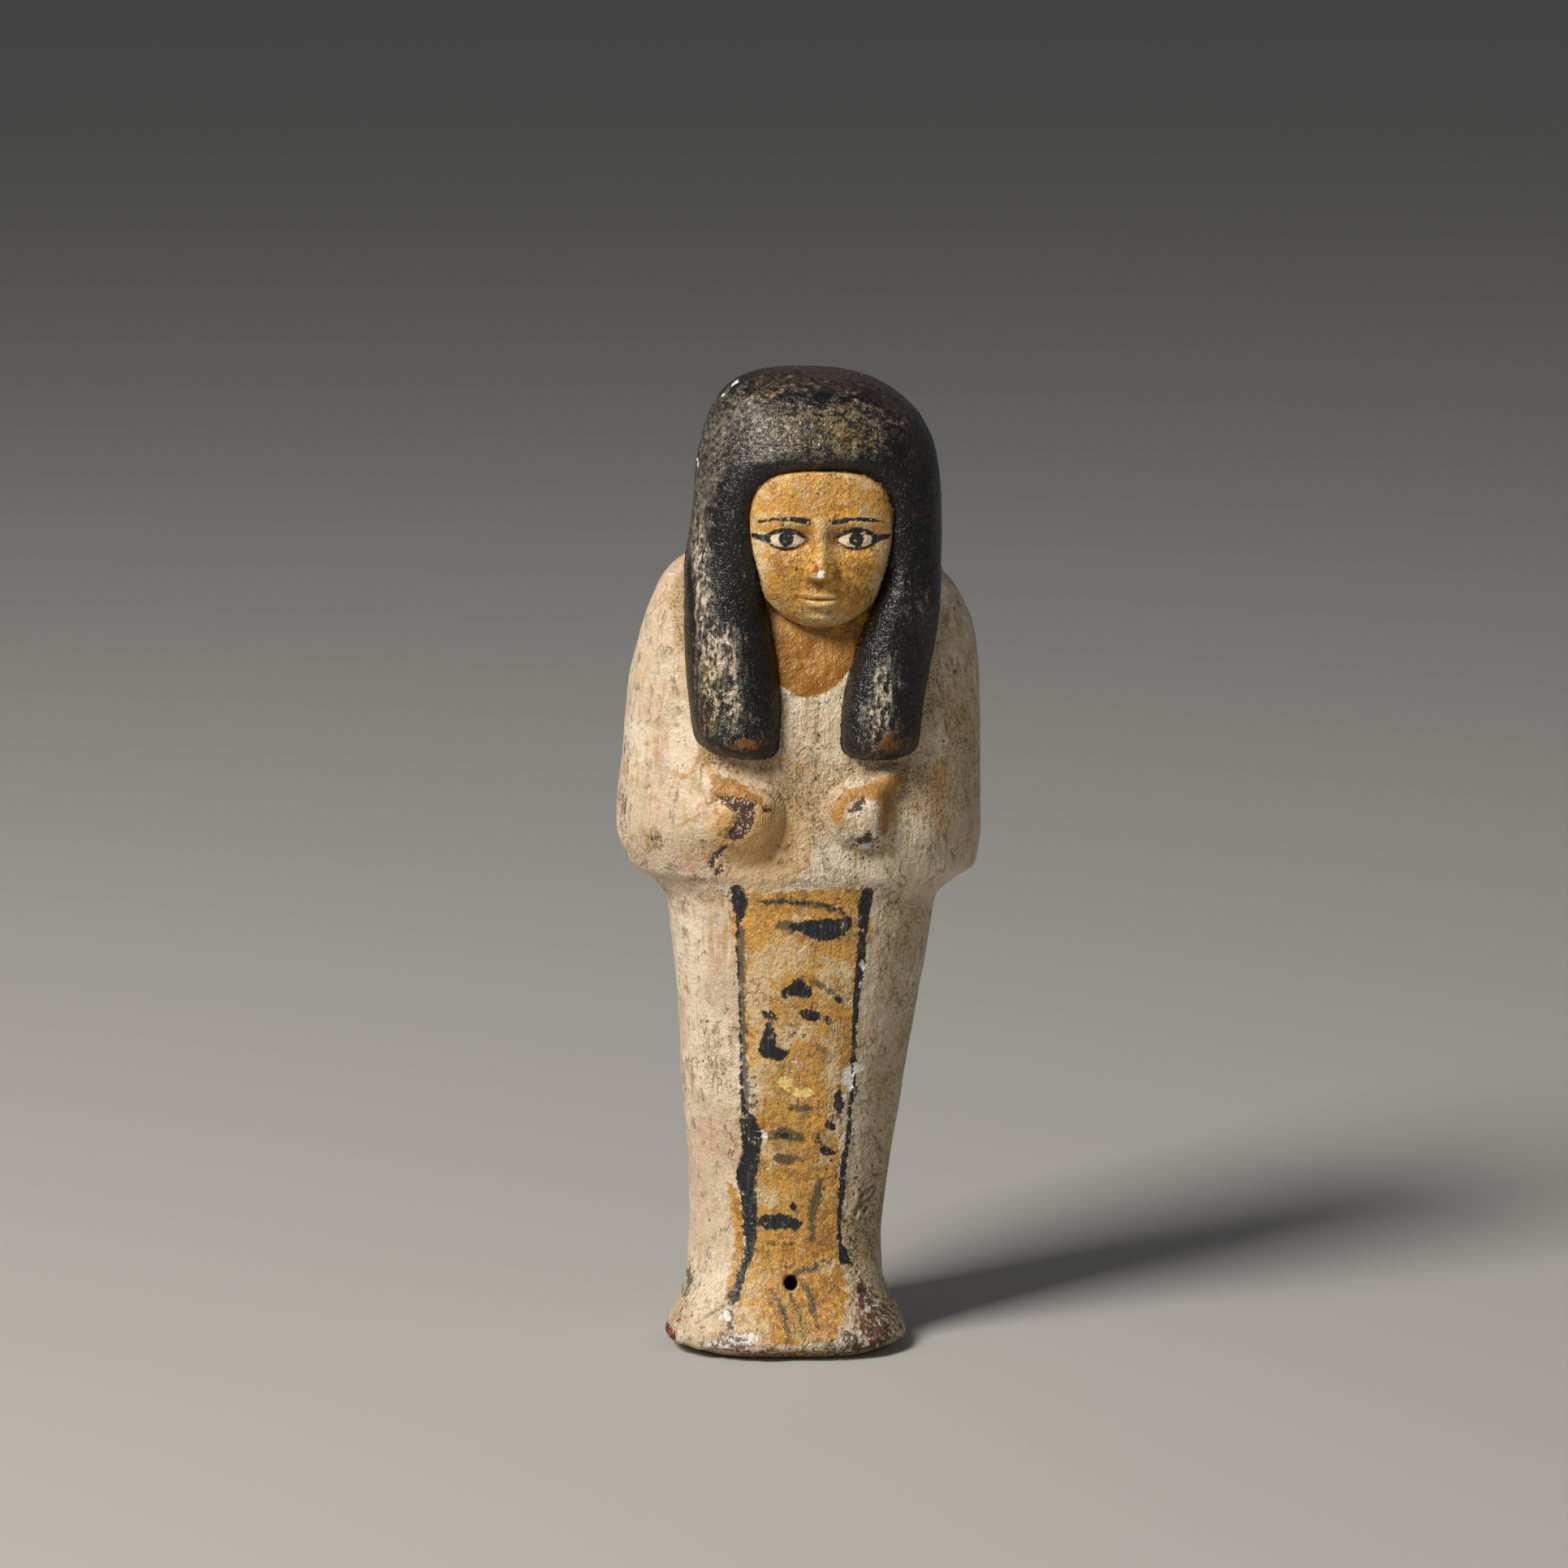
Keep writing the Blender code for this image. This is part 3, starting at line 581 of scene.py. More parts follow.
# Strokes of black paint on the legs: the panel's uneven borders, as places across and up with half widths.
LEFT_BORDER = (
    (-11.1, 87, 0.9), (-10.6, 85, 1.3), (-10.4, 83.2, 1), (-10.8, 80.8, 0.25), (-10.8, 74, 0),
    (-10.5, 64, -0.05), (-10.3, 53, 0.05), (-9.8, 45.4, 0.3), (-9, 43.6, 1.3), (-8.3, 40.4, 1.9),
    (-8.3, 38.2, 1.5), (-8.9, 35.4, 1.6), (-9.5, 32.4, 1.65), (-9, 29.4, 1.4), (-8.8, 25.5, 1.25),
    (-8.6, 22.4, 1.1), (-8.5, 20, 0.75), (-9.2, 17.4, 0.55), (-10.1, 15, 0.5), (-11, 12.4, 0.65),
    (-11.8, 10.9, 0.9), (-12.2, 9.9, 0.25),
)
RIGHT_BORDER = (
    (12.6, 86.6, 0.95), (12.2, 84.2, 1.05), (11.9, 81.8, 0.9), (11.9, 79.2, 0.6), (11.5, 74.6, 0.75),
    (11.1, 70.8, 0.7), (10.7, 66, 0.5), (10.4, 60, 0.25), (10.3, 56, 0.35), (10.3, 52.5, 0.45),
    (10, 48, 0.3), (9.6, 43.4, 0.2), (8.9, 38, 0.35), (8.4, 34.6, 0.4), (8.1, 30.4, 0.55),
    (7.7, 26.4, 0.3), (7.6, 22, 0.25), (7.9, 19.4, 0.3), (8.6, 17, 0.85), (9.6, 16.2, 0.2),
)
# Rows of dabs and short strokes down the panel.
BLACK_DABS = (
    ((-7, 84.8, -0.1), (-1.5, 85, 0.15), (4.5, 84.4, 0.2), (8.4, 82.8, 0.1), (9.3, 81, 0.3)),
    ((-1.2, 80.4, 0.4), (1.6, 80.2, 1.2), (4.4, 79.6, 2), (7.4, 80, 1.6), (9.3, 81.2, 0.6)),
    ((-2.2, 67.6, 0.7), (0.2, 68.8, 1.5), (1.9, 67.9, 0.8)),
    ((6.6, 67.2, 0.1), (7.8, 66.2, 0.45)),
    ((-6, 64, 0.5), (-4.4, 63.4, 0.55)),
    ((1.4, 63.9, 0.8), (3.2, 63.4, 0.85)),
    ((5.3, 62.9, 0.5), (5.8, 62.4, 0.4)),
    ((-5.2, 62, 0.5), (-5.1, 59.6, 1.1), (-5.5, 57.2, 1.5), (-3.6, 56.2, 1.2), (-2, 56.5, 0.4)),
    ((-4.4, 40.8, 0.1), (-2, 40.8, 0.5), (-0.6, 40.5, 0.1)),
    ((7.5, 49.4, 0.35), (7.6, 45.8, 0.75)),
    ((5.6, 42.8, 0.6), (6.4, 42.2, 0.4)),
    ((3.7, 40.8, 0.35), (4, 40, 0.3)),
    ((5, 38, 0.8), (6.2, 37.4, 0.5)),
    ((-6.2, 24.4, 1), (-3.4, 24.5, 1.25), (-0.6, 24.2, 1.05), (0.6, 24.2, 0.3)),
    ((-0.9, 27.6, 0.6), (-0.5, 27, 0.4)),
)
# Thinner strokes of a grey-green wash: flat dabs, short rules, an upright line, and the lines of the toes.
WASH_DABS = (
    ((-10.3, 80, 0.4), (-10.2, 74, 0.5), (-9.9, 64, 0.35), (-9.7, 53, 0.55), (-9.2, 46, 0.5)),
    ((-7.4, 84.7, 0.2), (-1.5, 85, 0.45), (4.5, 84.2, 0.5), (8.4, 82.6, 0.4), (9.2, 81, 0.4)),
    ((0.6, 70.4, 0.4), (2.8, 70.2, 0.5), (5.6, 68.4, 0.4), (7, 67, 0.3)),
    ((-3, 80.6, 0.9), (-1, 80.2, 1)),
    ((-2.8, 46.3, 0.3), (2.4, 45.9, 0.45)),
    ((-5, 40.6, 0.5), (-2.4, 41.1, 1.15), (0.6, 40.6, 0.5)),
    ((-3.9, 36.6, 0.6), (-2.2, 36.2, 0.95), (0.1, 36.4, 0.35)),
    ((4.2, 32.2, 0.4), (3.2, 28.2, 0.85), (2.5, 24.6, 0.6), (2.8, 20.8, 0.4)),
    ((-5.3, 20.5, 0.25), (-1.1, 20.4, 0.32)),
    ((-2.7, 17, 0.1), (0.2, 15.5, 0.2)),
    ((-0.4, 15.2, 0.2), (2.1, 15.8, 0.35), (4.8, 17.1, 0.2)),
    ((1.3, 13.2, 0.4), (1.9, 12.4, 0.35)),
    ((-4.6, 12.4, 0.15), (-3.4, 10.6, 0.3), (-2.4, 8.2, 0.35), (-1.8, 5.4, 0.3), (-2.1, 3, 0.2)),
    ((-1.2, 11.8, 0.2), (-0.2, 9.2, 0.3), (0.6, 7.4, 0.1)),
    ((1.7, 12.8, 0.3), (2.7, 10, 0.4), (3.4, 7.6, 0.3), (3.8, 6, 0.15)),
    ((-12.1, 8.6, 0.3), (-12.3, 6.6, 0.45)),
)
# Ochre that has run past the left border on to the leg.
OCHRE_SPILLS = (
    ((-12.9, 31.6, 0.1), (-11.6, 28.8, 0.8), (-10.8, 25, 0.75), (-10.4, 19.8, 0.7), (-11, 15.8, 0.7),
     (-12.2, 13, 0.6), (-12.8, 10.6, 0.3)),
    ((-11.2, 82.4, 0.5), (-11.4, 79.4, 0.5), (-10.9, 75, 0.1)),
    ((12.9, 80.6, 0.5), (12.4, 77, 0.15)),
)
# Ochre over the wrists and knuckles, where the fists come out of the wrapping.
WRIST_BANDS = (
    ((-15.6, 108, 0.3), (-12.4, 107.2, 0.45), (-10.1, 106.6, 0.4), (-7.3, 106.2, 0.25), (-5.6, 105.2, 0.1)),
    ((-15.2, 107.2, 0.5), (-13.3, 106.1, 1.6), (-11.2, 105.4, 1.4), (-9, 105, 0.8), (-6.6, 104, 0.4)),
    ((-15.4, 106, 0.4), (-15.1, 104, 0.25), (-14, 101, 0.2), (-14, 98.8, 0.4), (-13.8, 97.6, 0.1)),
    ((18.1, 107.6, 0.5), (16.4, 106.5, 1.6), (14.3, 105.8, 1.4), (11.6, 105.6, 0.9), (9.4, 105, 0.5),
     (8.2, 103.8, 0.4), (7, 101.8, 0.5), (6.8, 100.2, 0.3)),
    ((16.6, 106, 0.9), (16, 103.6, 0.6), (15.8, 100, 0.5), (15, 97.2, 0.2)),
)
# Where the paint of the fists has come away to dark clay.
BARE_PATCHES = (
    ((-14.2, 104.2, 0.3), (-12, 103.6, 0.9), (-10, 103.1, 1.1), (-8.4, 103.2, 0.8)),
    ((-8.6, 101.6, 0.9), (-9.8, 100, 1.8), (-11, 98.3, 1.4), (-12.6, 97.3, 0.4)),
    ((-5.8, 102.5, 0.3), (-4.8, 102.4, 0.2)),
    ((-12.9, 95.4, 0.25), (-14.4, 94, 0.4), (-15.2, 92.4, 0.3), (-15.7, 91.2, 0.25)),
    ((-13.8, 91.6, 0.2), (-14.6, 89.6, 0.3)),
    ((11.8, 104.4, 0.5), (10.6, 103.2, 0.6), (9.8, 102.2, 0.4), (8.3, 102.4, 0.1)),
    ((13, 98.2, 0.5), (12.6, 96.9, 0.75), (11, 96.4, 0.6), (9.3, 95.6, 0.2)),
)
# Thin lines of ochre that soaked into the ground.
OCHRE_LINES = (
    ((-4.6, 111.6, 0.1), (-0.2, 110.2, 0.25), (3.7, 108.2, 0.05)),
    ((-19, 112.8, 0.05), (-18.2, 110, 0.15), (-19.8, 107.8, 0.05)),
)
# Marks in the clay: curls scratched into one leg, and a fine crack across the other foot.
CUTS = (
    ((11.4, 27.6, 0.1), (11.8, 28.8, 0.25), (13, 29.4, 0.25), (14.4, 30.2, 0.1)),
    ((14.4, 29.4, 0.1), (13.8, 28.2, 0.15), (13, 27.4, 0.15), (12, 27.2, 0.1)),
    ((10.6, 25, 0.15), (10.8, 26.2, 0.25), (11.6, 26.6, 0.25), (12.6, 26, 0.15), (12.2, 25, 0.1)),
    ((-19, 6, -0.05), (-15.6, 8.2, 0), (-12.6, 10, 0)),
)
# The strokes of each layer of paint, bare clay or cut marks.
STROKES = {
    "black_paint": (LEFT_BORDER, RIGHT_BORDER, *BLACK_DABS),
    "wash_paint": WASH_DABS,
    "wrist_ochre": WRIST_BANDS,
    "bare": BARE_PATCHES,
    "cut": CUTS,
}
# Thin chips down to the chalk ground.
CHALK_STROKES = (
    ((-12, 176.7, -0.14), (-10.6, 177.7, -0.04)),
    ((-14, 174.5, -0.1), (-13.1, 175.6, -0.06)),
    ((-18.3, 162.2, -0.1), (-18.25, 163.6, -0.08)),
)
# Stains with a darker rim: middle across and up, reach across and up, and how pale or tan they are inside.
STAINS = (
    (-20.6, 112.2, 2.9, 4.7, -0.9),
    (-19.9, 103.8, 3.3, 3.6, -0.1),
    (-18.5, 96.1, 3.4, 4, -0.1),
    (-7.5, 96, 9.8, 9.4, 0.8),
)
# Wear and dirt, with some painted highlight and painted shade, by the layer that each table spreads over
# the skin: middle across and up, reach across and up, and strength.
WEAR = {
    # Places where the black is rubbed to grey; the band just over the brow and the brightest parts of the
    # lappets' crests are painted highlight of the wax's sheen.
    "hair_rub_and_sheen": (
        (-11, 171, 8, 6.5, 1), (3, 170.6, 9, 4.6, 1.1), (10.5, 169.6, 6, 5, 0.9), (1, 177, 12, 3, 0.2),
        (-3, 166.9, 8, 1.8, 1), (-16, 162.5, 4.2, 7, 0.9), (-18, 150, 2.4, 9, 0.9), (-17, 140, 3, 9, 0.9),
        (-12.8, 131.8, 2.6, 4.6, 1.2), (-15.8, 124, 3.2, 9, 1), (-11.4, 121.5, 2.8, 8, 0.9),
        (15.4, 125.6, 2.1, 5, 1.2), (14.2, 118.8, 3.2, 5.4, 1.2), (21.5, 136, 1.6, 6, 0.6),
    ),
    "hair_ochre": (
        (-5.5, 176.9, 3.6, 1.2, 0.7), (8.3, 169.2, 2, 1.6, 0.8), (5, 166.2, 1.6, 1.2, 0.4),
        (-16.4, 127.6, 1.9, 3.4, 0.35), (-16.2, 119, 1.8, 4, 0.75), (-8.8, 114.6, 3.6, 1.7, 1.1),
        (15.6, 114.4, 5, 1.7, 1.1), (18.2, 117.4, 1.4, 1.8, 0.6),
    ),
    "hair_khaki": (
        (3, 172, 9, 6.5, 1), (11.5, 168, 4, 4, 0.6), (-15.6, 127, 2.6, 4.6, 1.1), (-16.2, 119, 2.4, 5, 0.9),
        (-18, 156, 2, 6, 0.5),
    ),
    "hair_brown": (
        (2.5, 179, 15, 3, 1), (17, 173.5, 6, 5, 0.8), (21, 166, 3.5, 9, 0.6), (22.6, 136, 1.8, 7, 1),
        (-17, 145, 1.5, 12, 0.3),
    ),
    "white_chip": (
        (FACE_MIDDLE - 0.3, NOSE_FOOT + 1.4, 0.9, 1.1, 1.1), (11.4, 178.4, 0.6, 0.3, 0.5),
        (-23.1, 142.8, 1.1, 0.5, 1), (-12.6, 132.6, 0.7, 0.5, 0.8), (11.7, 72.6, 0.9, 1.9, 0.75),
        (11.4, 69.2, 0.8, 1.2, 0.75), (8.9, 52.2, 1.4, 2, 1.2), (11.5, 53.2, 1.3, 1.1, 1.1),
        (9.6, 49.6, 0.8, 1.6, 0.9), (-0.6, 54.9, 1.1, 0.5, 0.95), (-1, 53.2, 0.5, 0.5, 0.9),
        (6.2, 50.4, 1.1, 0.5, 0.85), (10.6, 43, 0.4, 3, 0.6), (-6.1, 40.8, 1, 1.3, 1),
        (-5.3, 37.8, 0.9, 0.7, 0.7), (-6.8, 23.4, 0.6, 0.9, 0.6), (-9.6, 4.6, 4.2, 1.4, 1.05),
        (-14.8, 3.1, 4, 1.3, 1.05), (6.4, 3.2, 4, 0.8, 0.6), (14.6, 6.4, 2.6, 2, 0.5),
        (-13.4, 8, 1.4, 1.2, 0.7), (-12.4, 7.6, 1, 0.8, 0.5), (2.6, 3.4, 2.6, 0.9, 0.6),
        (31.2, 130.4, 0.8, 1.2, 0.7),
    ),
    "clay_chip": (
        (FACE_MIDDLE - 1, NOSE_FOOT + 2.2, 0.6, 0.9, 0.9), (-23.8, 2.8, 2, 1.9, 1.2),
        (-21.6, 5.8, 0.9, 0.9, 0.7), (-18.5, 1.2, 2.6, 0.7, 0.7), (11.6, 11.6, 1.9, 1.8, 0.85),
        (18.6, 4.4, 1.6, 2.6, 0.6), (-8.6, 46.6, 0.8, 1, 0.5), (-1.9, 58.4, 1.2, 1.2, 0.5),
        (0.2, 61.4, 0.8, 0.8, 0.45),
    ),
    "crumbled": (
        (12.4, 10.4, 3, 3.6, 1.1), (16, 5.6, 4, 4, 1.1), (9.8, 4.2, 5.2, 2.6, 1.1), (-2, 2.4, 7, 1, 0.5),
        (-13, 3.6, 6, 2.6, 0.9), (-20, 5, 3, 3, 0.5), (-0.4, 60, 3, 3.4, 0.9), (-7.4, 50, 1.8, 3.4, 1),
        (-8.2, 45.6, 1.2, 1.8, 0.9), (8, 44.6, 1.5, 7, 0.95), (-5.4, 26.4, 1.2, 1.2, 0.5),
    ),
    "pale": (
        (-3, 74, 5, 4.4, 0.8), (6.4, 72, 4, 5.4, 0.7), (-7.4, 68, 2.4, 7, 1), (0.5, 61, 4.6, 3, 0.6),
        (-4, 58, 4, 4.5, 0.6), (-7.4, 50, 1.9, 4, 1), (6.4, 54, 1.3, 4.5, 1), (7.4, 43.6, 1.8, 6, 1),
        (8.8, 71.2, 0.9, 1.8, 1.2), (9.5, 65.6, 0.9, 1.7, 1.2), (-5.4, 39, 2.4, 3.4, 0.6),
        (-5, 29, 3.6, 3, 0.7), (4.5, 36, 1.6, 3, 0.5), (-7, 14, 4, 1.6, 0.6), (-8.8, 7.6, 3.4, 4, 0.7),
        (6, 15.8, 3.6, 1.8, 0.6), (2, 4, 4, 1.6, 0.5), (-7, 3.6, 3, 1.6, 0.6),
        (FACE_MIDDLE - 10.6, 149, 2.6, 8, 0.8), (FACE_MIDDLE + 11, 148, 2.2, 7, 0.7),
        (FACE_MIDDLE, 137, 7, 1.8, 0.5),
    ),
    "flake": (
        (-2.4, 50.8, 1.6, 1, 1.2), (0.9, 48.9, 2, 0.8, 1.2), (-1, 53.4, 0.5, 0.4, 0.9),
        (2, 81.9, 0.7, 0.5, 1), (0.2, 59.4, 0.5, 0.5, 0.7),
    ),
    "ochre_tint": (
        (-6.5, 95, 8, 6, 0.4), (-3, 99.5, 4, 4, 0.5), (16.4, 102, 1.8, 4.6, 1), (12.6, 104.4, 3, 1.6, 0.6),
        (-5.4, 98.2, 2, 3, 0.9), (-7, 101.5, 2.6, 4.5, 0.7), (-9, 95, 5, 3, 0.4), (-3, 91, 4, 2, 0.5),
        (-12.5, 100, 3, 6, 0.8), (25.5, 105.5, 3, 4, 0.8), (27, 122, 2, 9, 0.45), (-21.6, 139, 2, 5, 0.6),
        (-20.8, 125, 2.2, 7, 0.5), (-16, 110.4, 1.2, 3, 0.8), (-4, 111, 6, 1, 0.35),
        (-12.2, 28.5, 1, 3.4, 1), (-10.9, 22.5, 0.9, 4, 0.9), (-10.9, 78.5, 0.8, 3.4, 0.9),
        (12.6, 79.6, 0.8, 2.6, 0.8), (-12, 14, 1, 1.6, 0.8), (-20, 74, 2, 9, 0.3), (9.2, 26, 0.8, 6, 0.5),
        (2, 127, 8, 5, 0.3),
    ),
    # Dirt; the band along the sole's lip and the thin bands just under the lappets' ends are painted shade.
    "soil": (
        (1.5, 113.5, 5.5, 8, 0.6), (-17, 62, 5, 26, -0.35), (-26, 124, 6, 16, -0.3), (-1, 105, 5, 4, 0.6),
        (5, 103, 4, 5, 0.7), (2, 98, 5, 4, 0.5), (-21.7, 138, 2.4, 7, 0.7), (-16, 110.6, 3, 1.8, 0.8),
        (-8, 109.6, 6, 1.2, 0.35), (11, 109.6, 8, 1.6, 0.3), (20, 107, 5, 4.5, 0.75), (24, 104, 5, 5, 0.5),
        (25, 121, 3.5, 9, 0.45), (29, 116, 2, 9, 0.45), (-26, 96, 4, 4, 0.6), (-31, 92, 3, 4, 0.6),
        (-17, 55, 3.5, 9, 0.45), (-13.5, 40, 4, 6, 0.4), (11.5, 19, 3.6, 6, 1), (14.5, 25, 4.5, 8, 0.9),
        (15, 40, 4.5, 16, 0.75), (22, 62, 6, 22, 0.6), (32, 108, 6, 15, 0.6), (0, 13, 8, 8, 0.8),
        (15, 7, 6, 6, 1), (17, 78, 5, 8, 0.4), (-14, 8, 3, 4, 0.5), (-21, 7, 2.5, 3.5, 0.7),
        (-4, 60, 4, 4, 0.35), (-18, 84, 6, 3, 0.4), (0, 0.8, 18, 1.6, 0.9),
    ),
    # Dark smudges; the band along the sole's lip is painted shade.
    "smudge_and_shade": (
        (-25.8, 95.6, 1.5, 2.2, 0.95), (-31.9, 100, 1.2, 6, 0.7), (-31.2, 111.6, 0.9, 2.4, 0.7),
        (-19.8, 12.4, 1, 2.2, 1), (-20.9, 9.8, 1, 1.2, 0.8), (-12.3, 6.2, 0.7, 0.7, 1),
        (11.2, 50, 0.9, 5, 0.7), (9.8, 42, 0.8, 6, 0.6), (-2, 118, 1.6, 2.6, 0.4),
        (28.5, 125.8, 0.3, 0.5, 1.2), (24.4, 104, 0.4, 0.4, 1.2), (8.6, 18.6, 1.4, 1.6, 0.5),
        (15.5, 7, 4.5, 5, 0.75), (10.5, 2.6, 6, 1.4, 0.75), (0, 0.9, 19, 1.2, 0.6),
    ),
}
# A drop of clay that was left on one arm: place, reach and height.
CLAY_DROP = (26.6, 113.4, 0.75, 1.15, 0.6)


def spots(x, z, table):
    """The sum of a table's bells, kept between -1 and 1.2."""
    return np.clip(swells(x, z, table), -1.0, 1.2)


def best_stroke(x, z, routes):
    """Distance inside the nearest of several strokes."""
    return np.maximum.reduce([brush_stroke(x, z, route) for route in routes])


# The lappets' painted edge is measured across, so where the skin turns to the side it is made steeper:
# the depths over which it grows, and by how much.
EDGE_STEEPENING = ((20, 12, 4.0), (12, 8, 8.0))
LAPPET_INSIDE = 6.0
FAR_OUT = -9.0
# Over these heights the lappets give way to the wig's mass.
ON_HEAD = (150, 154)


def hair_inside(angle, x, z, depth, on_front):
    """Distance inside the black wig, negative outside: the wig's mass or a lappet, less the opening."""
    mass = np.where(z > WIG[0, 0], wig_radius(angle, z) - body_radius(angle, z), FAR_OUT)
    lappet = FAR_OUT
    for side in lappet_sides(z):
        _, half, edge = bar_edge(x, z, *side)
        inside = (1.0 - edge ** (1.0 / LAPPET_ROUNDNESS)) * np.minimum(half, LAPPET_INSIDE)
        lappet = np.maximum(lappet, inside)
    lappet = lappet * (1.0 + sum(by * smooth_step(start, end, depth) for start, end, by in EDGE_STEEPENING))
    on_head = smooth_step(*ON_HEAD, z)
    lappet = lappet * (1 - on_head) + mass * on_head
    front = np.minimum(np.maximum(mass, lappet), opening_distance(x, z))
    return np.where(on_front, front, mass)


# How far in from the opening and from a lappet's edge the black is whole, and up to where the lappets run.
OPENING_MARGIN, LAPPET_MARGIN, LAPPET_TOPS = (1.2, 3.6), (0.7, 2.4), (140.0, 150.0)


def rub_margin(x, z):
    """0 along the edges of the lappets and the opening, where the black is whole, and 1 on their crests."""
    margin = smooth_step(*OPENING_MARGIN, opening_distance(x, z))
    bars = 0.0
    for side in lappet_sides(z):
        _, half, edge = bar_edge(x, z, *side)
        inside = (1.0 - edge ** (1.0 / LAPPET_ROUNDNESS)) * half
        bars = np.maximum(bars, smooth_step(*LAPPET_MARGIN, inside))
    below = 1.0 - smooth_step(*LAPPET_TOPS, z)
    return margin * (1.0 - below + bars * below)


def almond(side, z, grow):
    """Distance inside an almond-shaped eye, grown by this much: its half height less the height off it."""
    across = np.clip(np.abs(side - EYE_OUT) / (EYE_HALF_WIDTH + grow), 0.0, 1.2)
    return (EYE_HALF_HEIGHT + grow) * (1.0 - across**2) - np.abs(z - EYE)


# Painted lines of the face: the eye's liner with its tail, the brow, and the iris.
LINER_LIFT, LINER_WIDTH = 0.2, 0.75
TAIL = ((EYE_OUT + 3.4, EYE + 0.1, 0.6), (EYE_OUT + 5.8, EYE + 0.6, 0.3))
BROW_LIFT, BROW_BEND, BROW_OUT, BROW_HALF, BROW_THINNING, BROW_REACH = 1.2, 0.03, 0.2, 0.6, 0.03, 4.7
IRIS_RADIUS, IRIS_IN, IRIS_UP, IRIS_LAP = 1.3, 0.1, 0.2, 0.3


def face_paint(x, z):
    """Painted brows, the lines round the eyes with their tails, and the whites and irises of the eyes."""
    side = np.abs(x - FACE_MIDDLE)
    eye = almond(side, z, 0.0)
    line = np.minimum(almond(side, z - LINER_LIFT, LINER_WIDTH), -eye)
    from_arch = np.abs(z - BROW - BROW_LIFT + BROW_BEND * (side - EYE_OUT) ** 2)
    brow = BROW_HALF - BROW_THINNING * side - from_arch
    brow = np.minimum(brow, BROW_REACH - np.abs(side - EYE_OUT - BROW_OUT))
    iris = IRIS_RADIUS - np.hypot(side - EYE_OUT + IRIS_IN, z - EYE - IRIS_UP)
    black = np.maximum.reduce([line, brow, brush_stroke(side, z, TAIL), np.minimum(iris, eye + IRIS_LAP)])
    return black, eye


def stain_layers(x, z):
    """How near each place is to a stain's rim, and how pale or tan it is inside one, from oval distances."""
    rim, tone = FAR_OUT, 0.0
    for middle, height, half_width, half_height, tan in STAINS:
        oval = np.hypot((x - middle) / half_width, (z - height) / half_height)
        inside = (1.0 - oval) * min(half_width, half_height)
        rim = np.maximum(rim, -np.abs(inside))
        tone = tone + tan * smooth_step(-0.15, 0.15, inside)
    return np.maximum(rim, np.minimum(best_stroke(x, z, OCHRE_LINES), 0.0)), tone


# The depth where the painted front starts, and how far outside every painted area lies behind that.
FRONT_START, OFF_FRONT = 3.0, -20.0
# Depths over which the kinds of wear come in towards the front.
AHEAD, BESIDE, CHIPPED, BEHIND, RUBBED = (1, 5), (-8, 0), (-2, 2), (-6, 2), (-10, 8)
# The panel's edge is softer on the foot, over these heights, and the panel stops above the sole.
PANEL_FOOT, PANEL_SOFTENING, PANEL_END = (18, 8), 0.65, 0.8
# The bare neck's lower edge is a parabola about its middle. The toes have a crumbled rim.
NECK_BEND, NECK_MIDDLE, NECK_LIP = 0.09, 2.0, 0.5
TOE_RIM, TOE_RIM_REACH, TOE_RIM_SHARE, TOE_FRONT = 2.4, 1.5, 0.4, (4.0, 12.0)
# Thin chips lie within this reach of the painted front's start.
SLIVER_STRENGTH, SLIVER_REACH = 1.2, 3.0
# Over these heights the rubbed marks turn from upright, on the fall of the hair, to level on the dome.
TO_DOME = (146, 164)
# The ochre skin runs this far under the black.
SKIN_LAP = 0.3


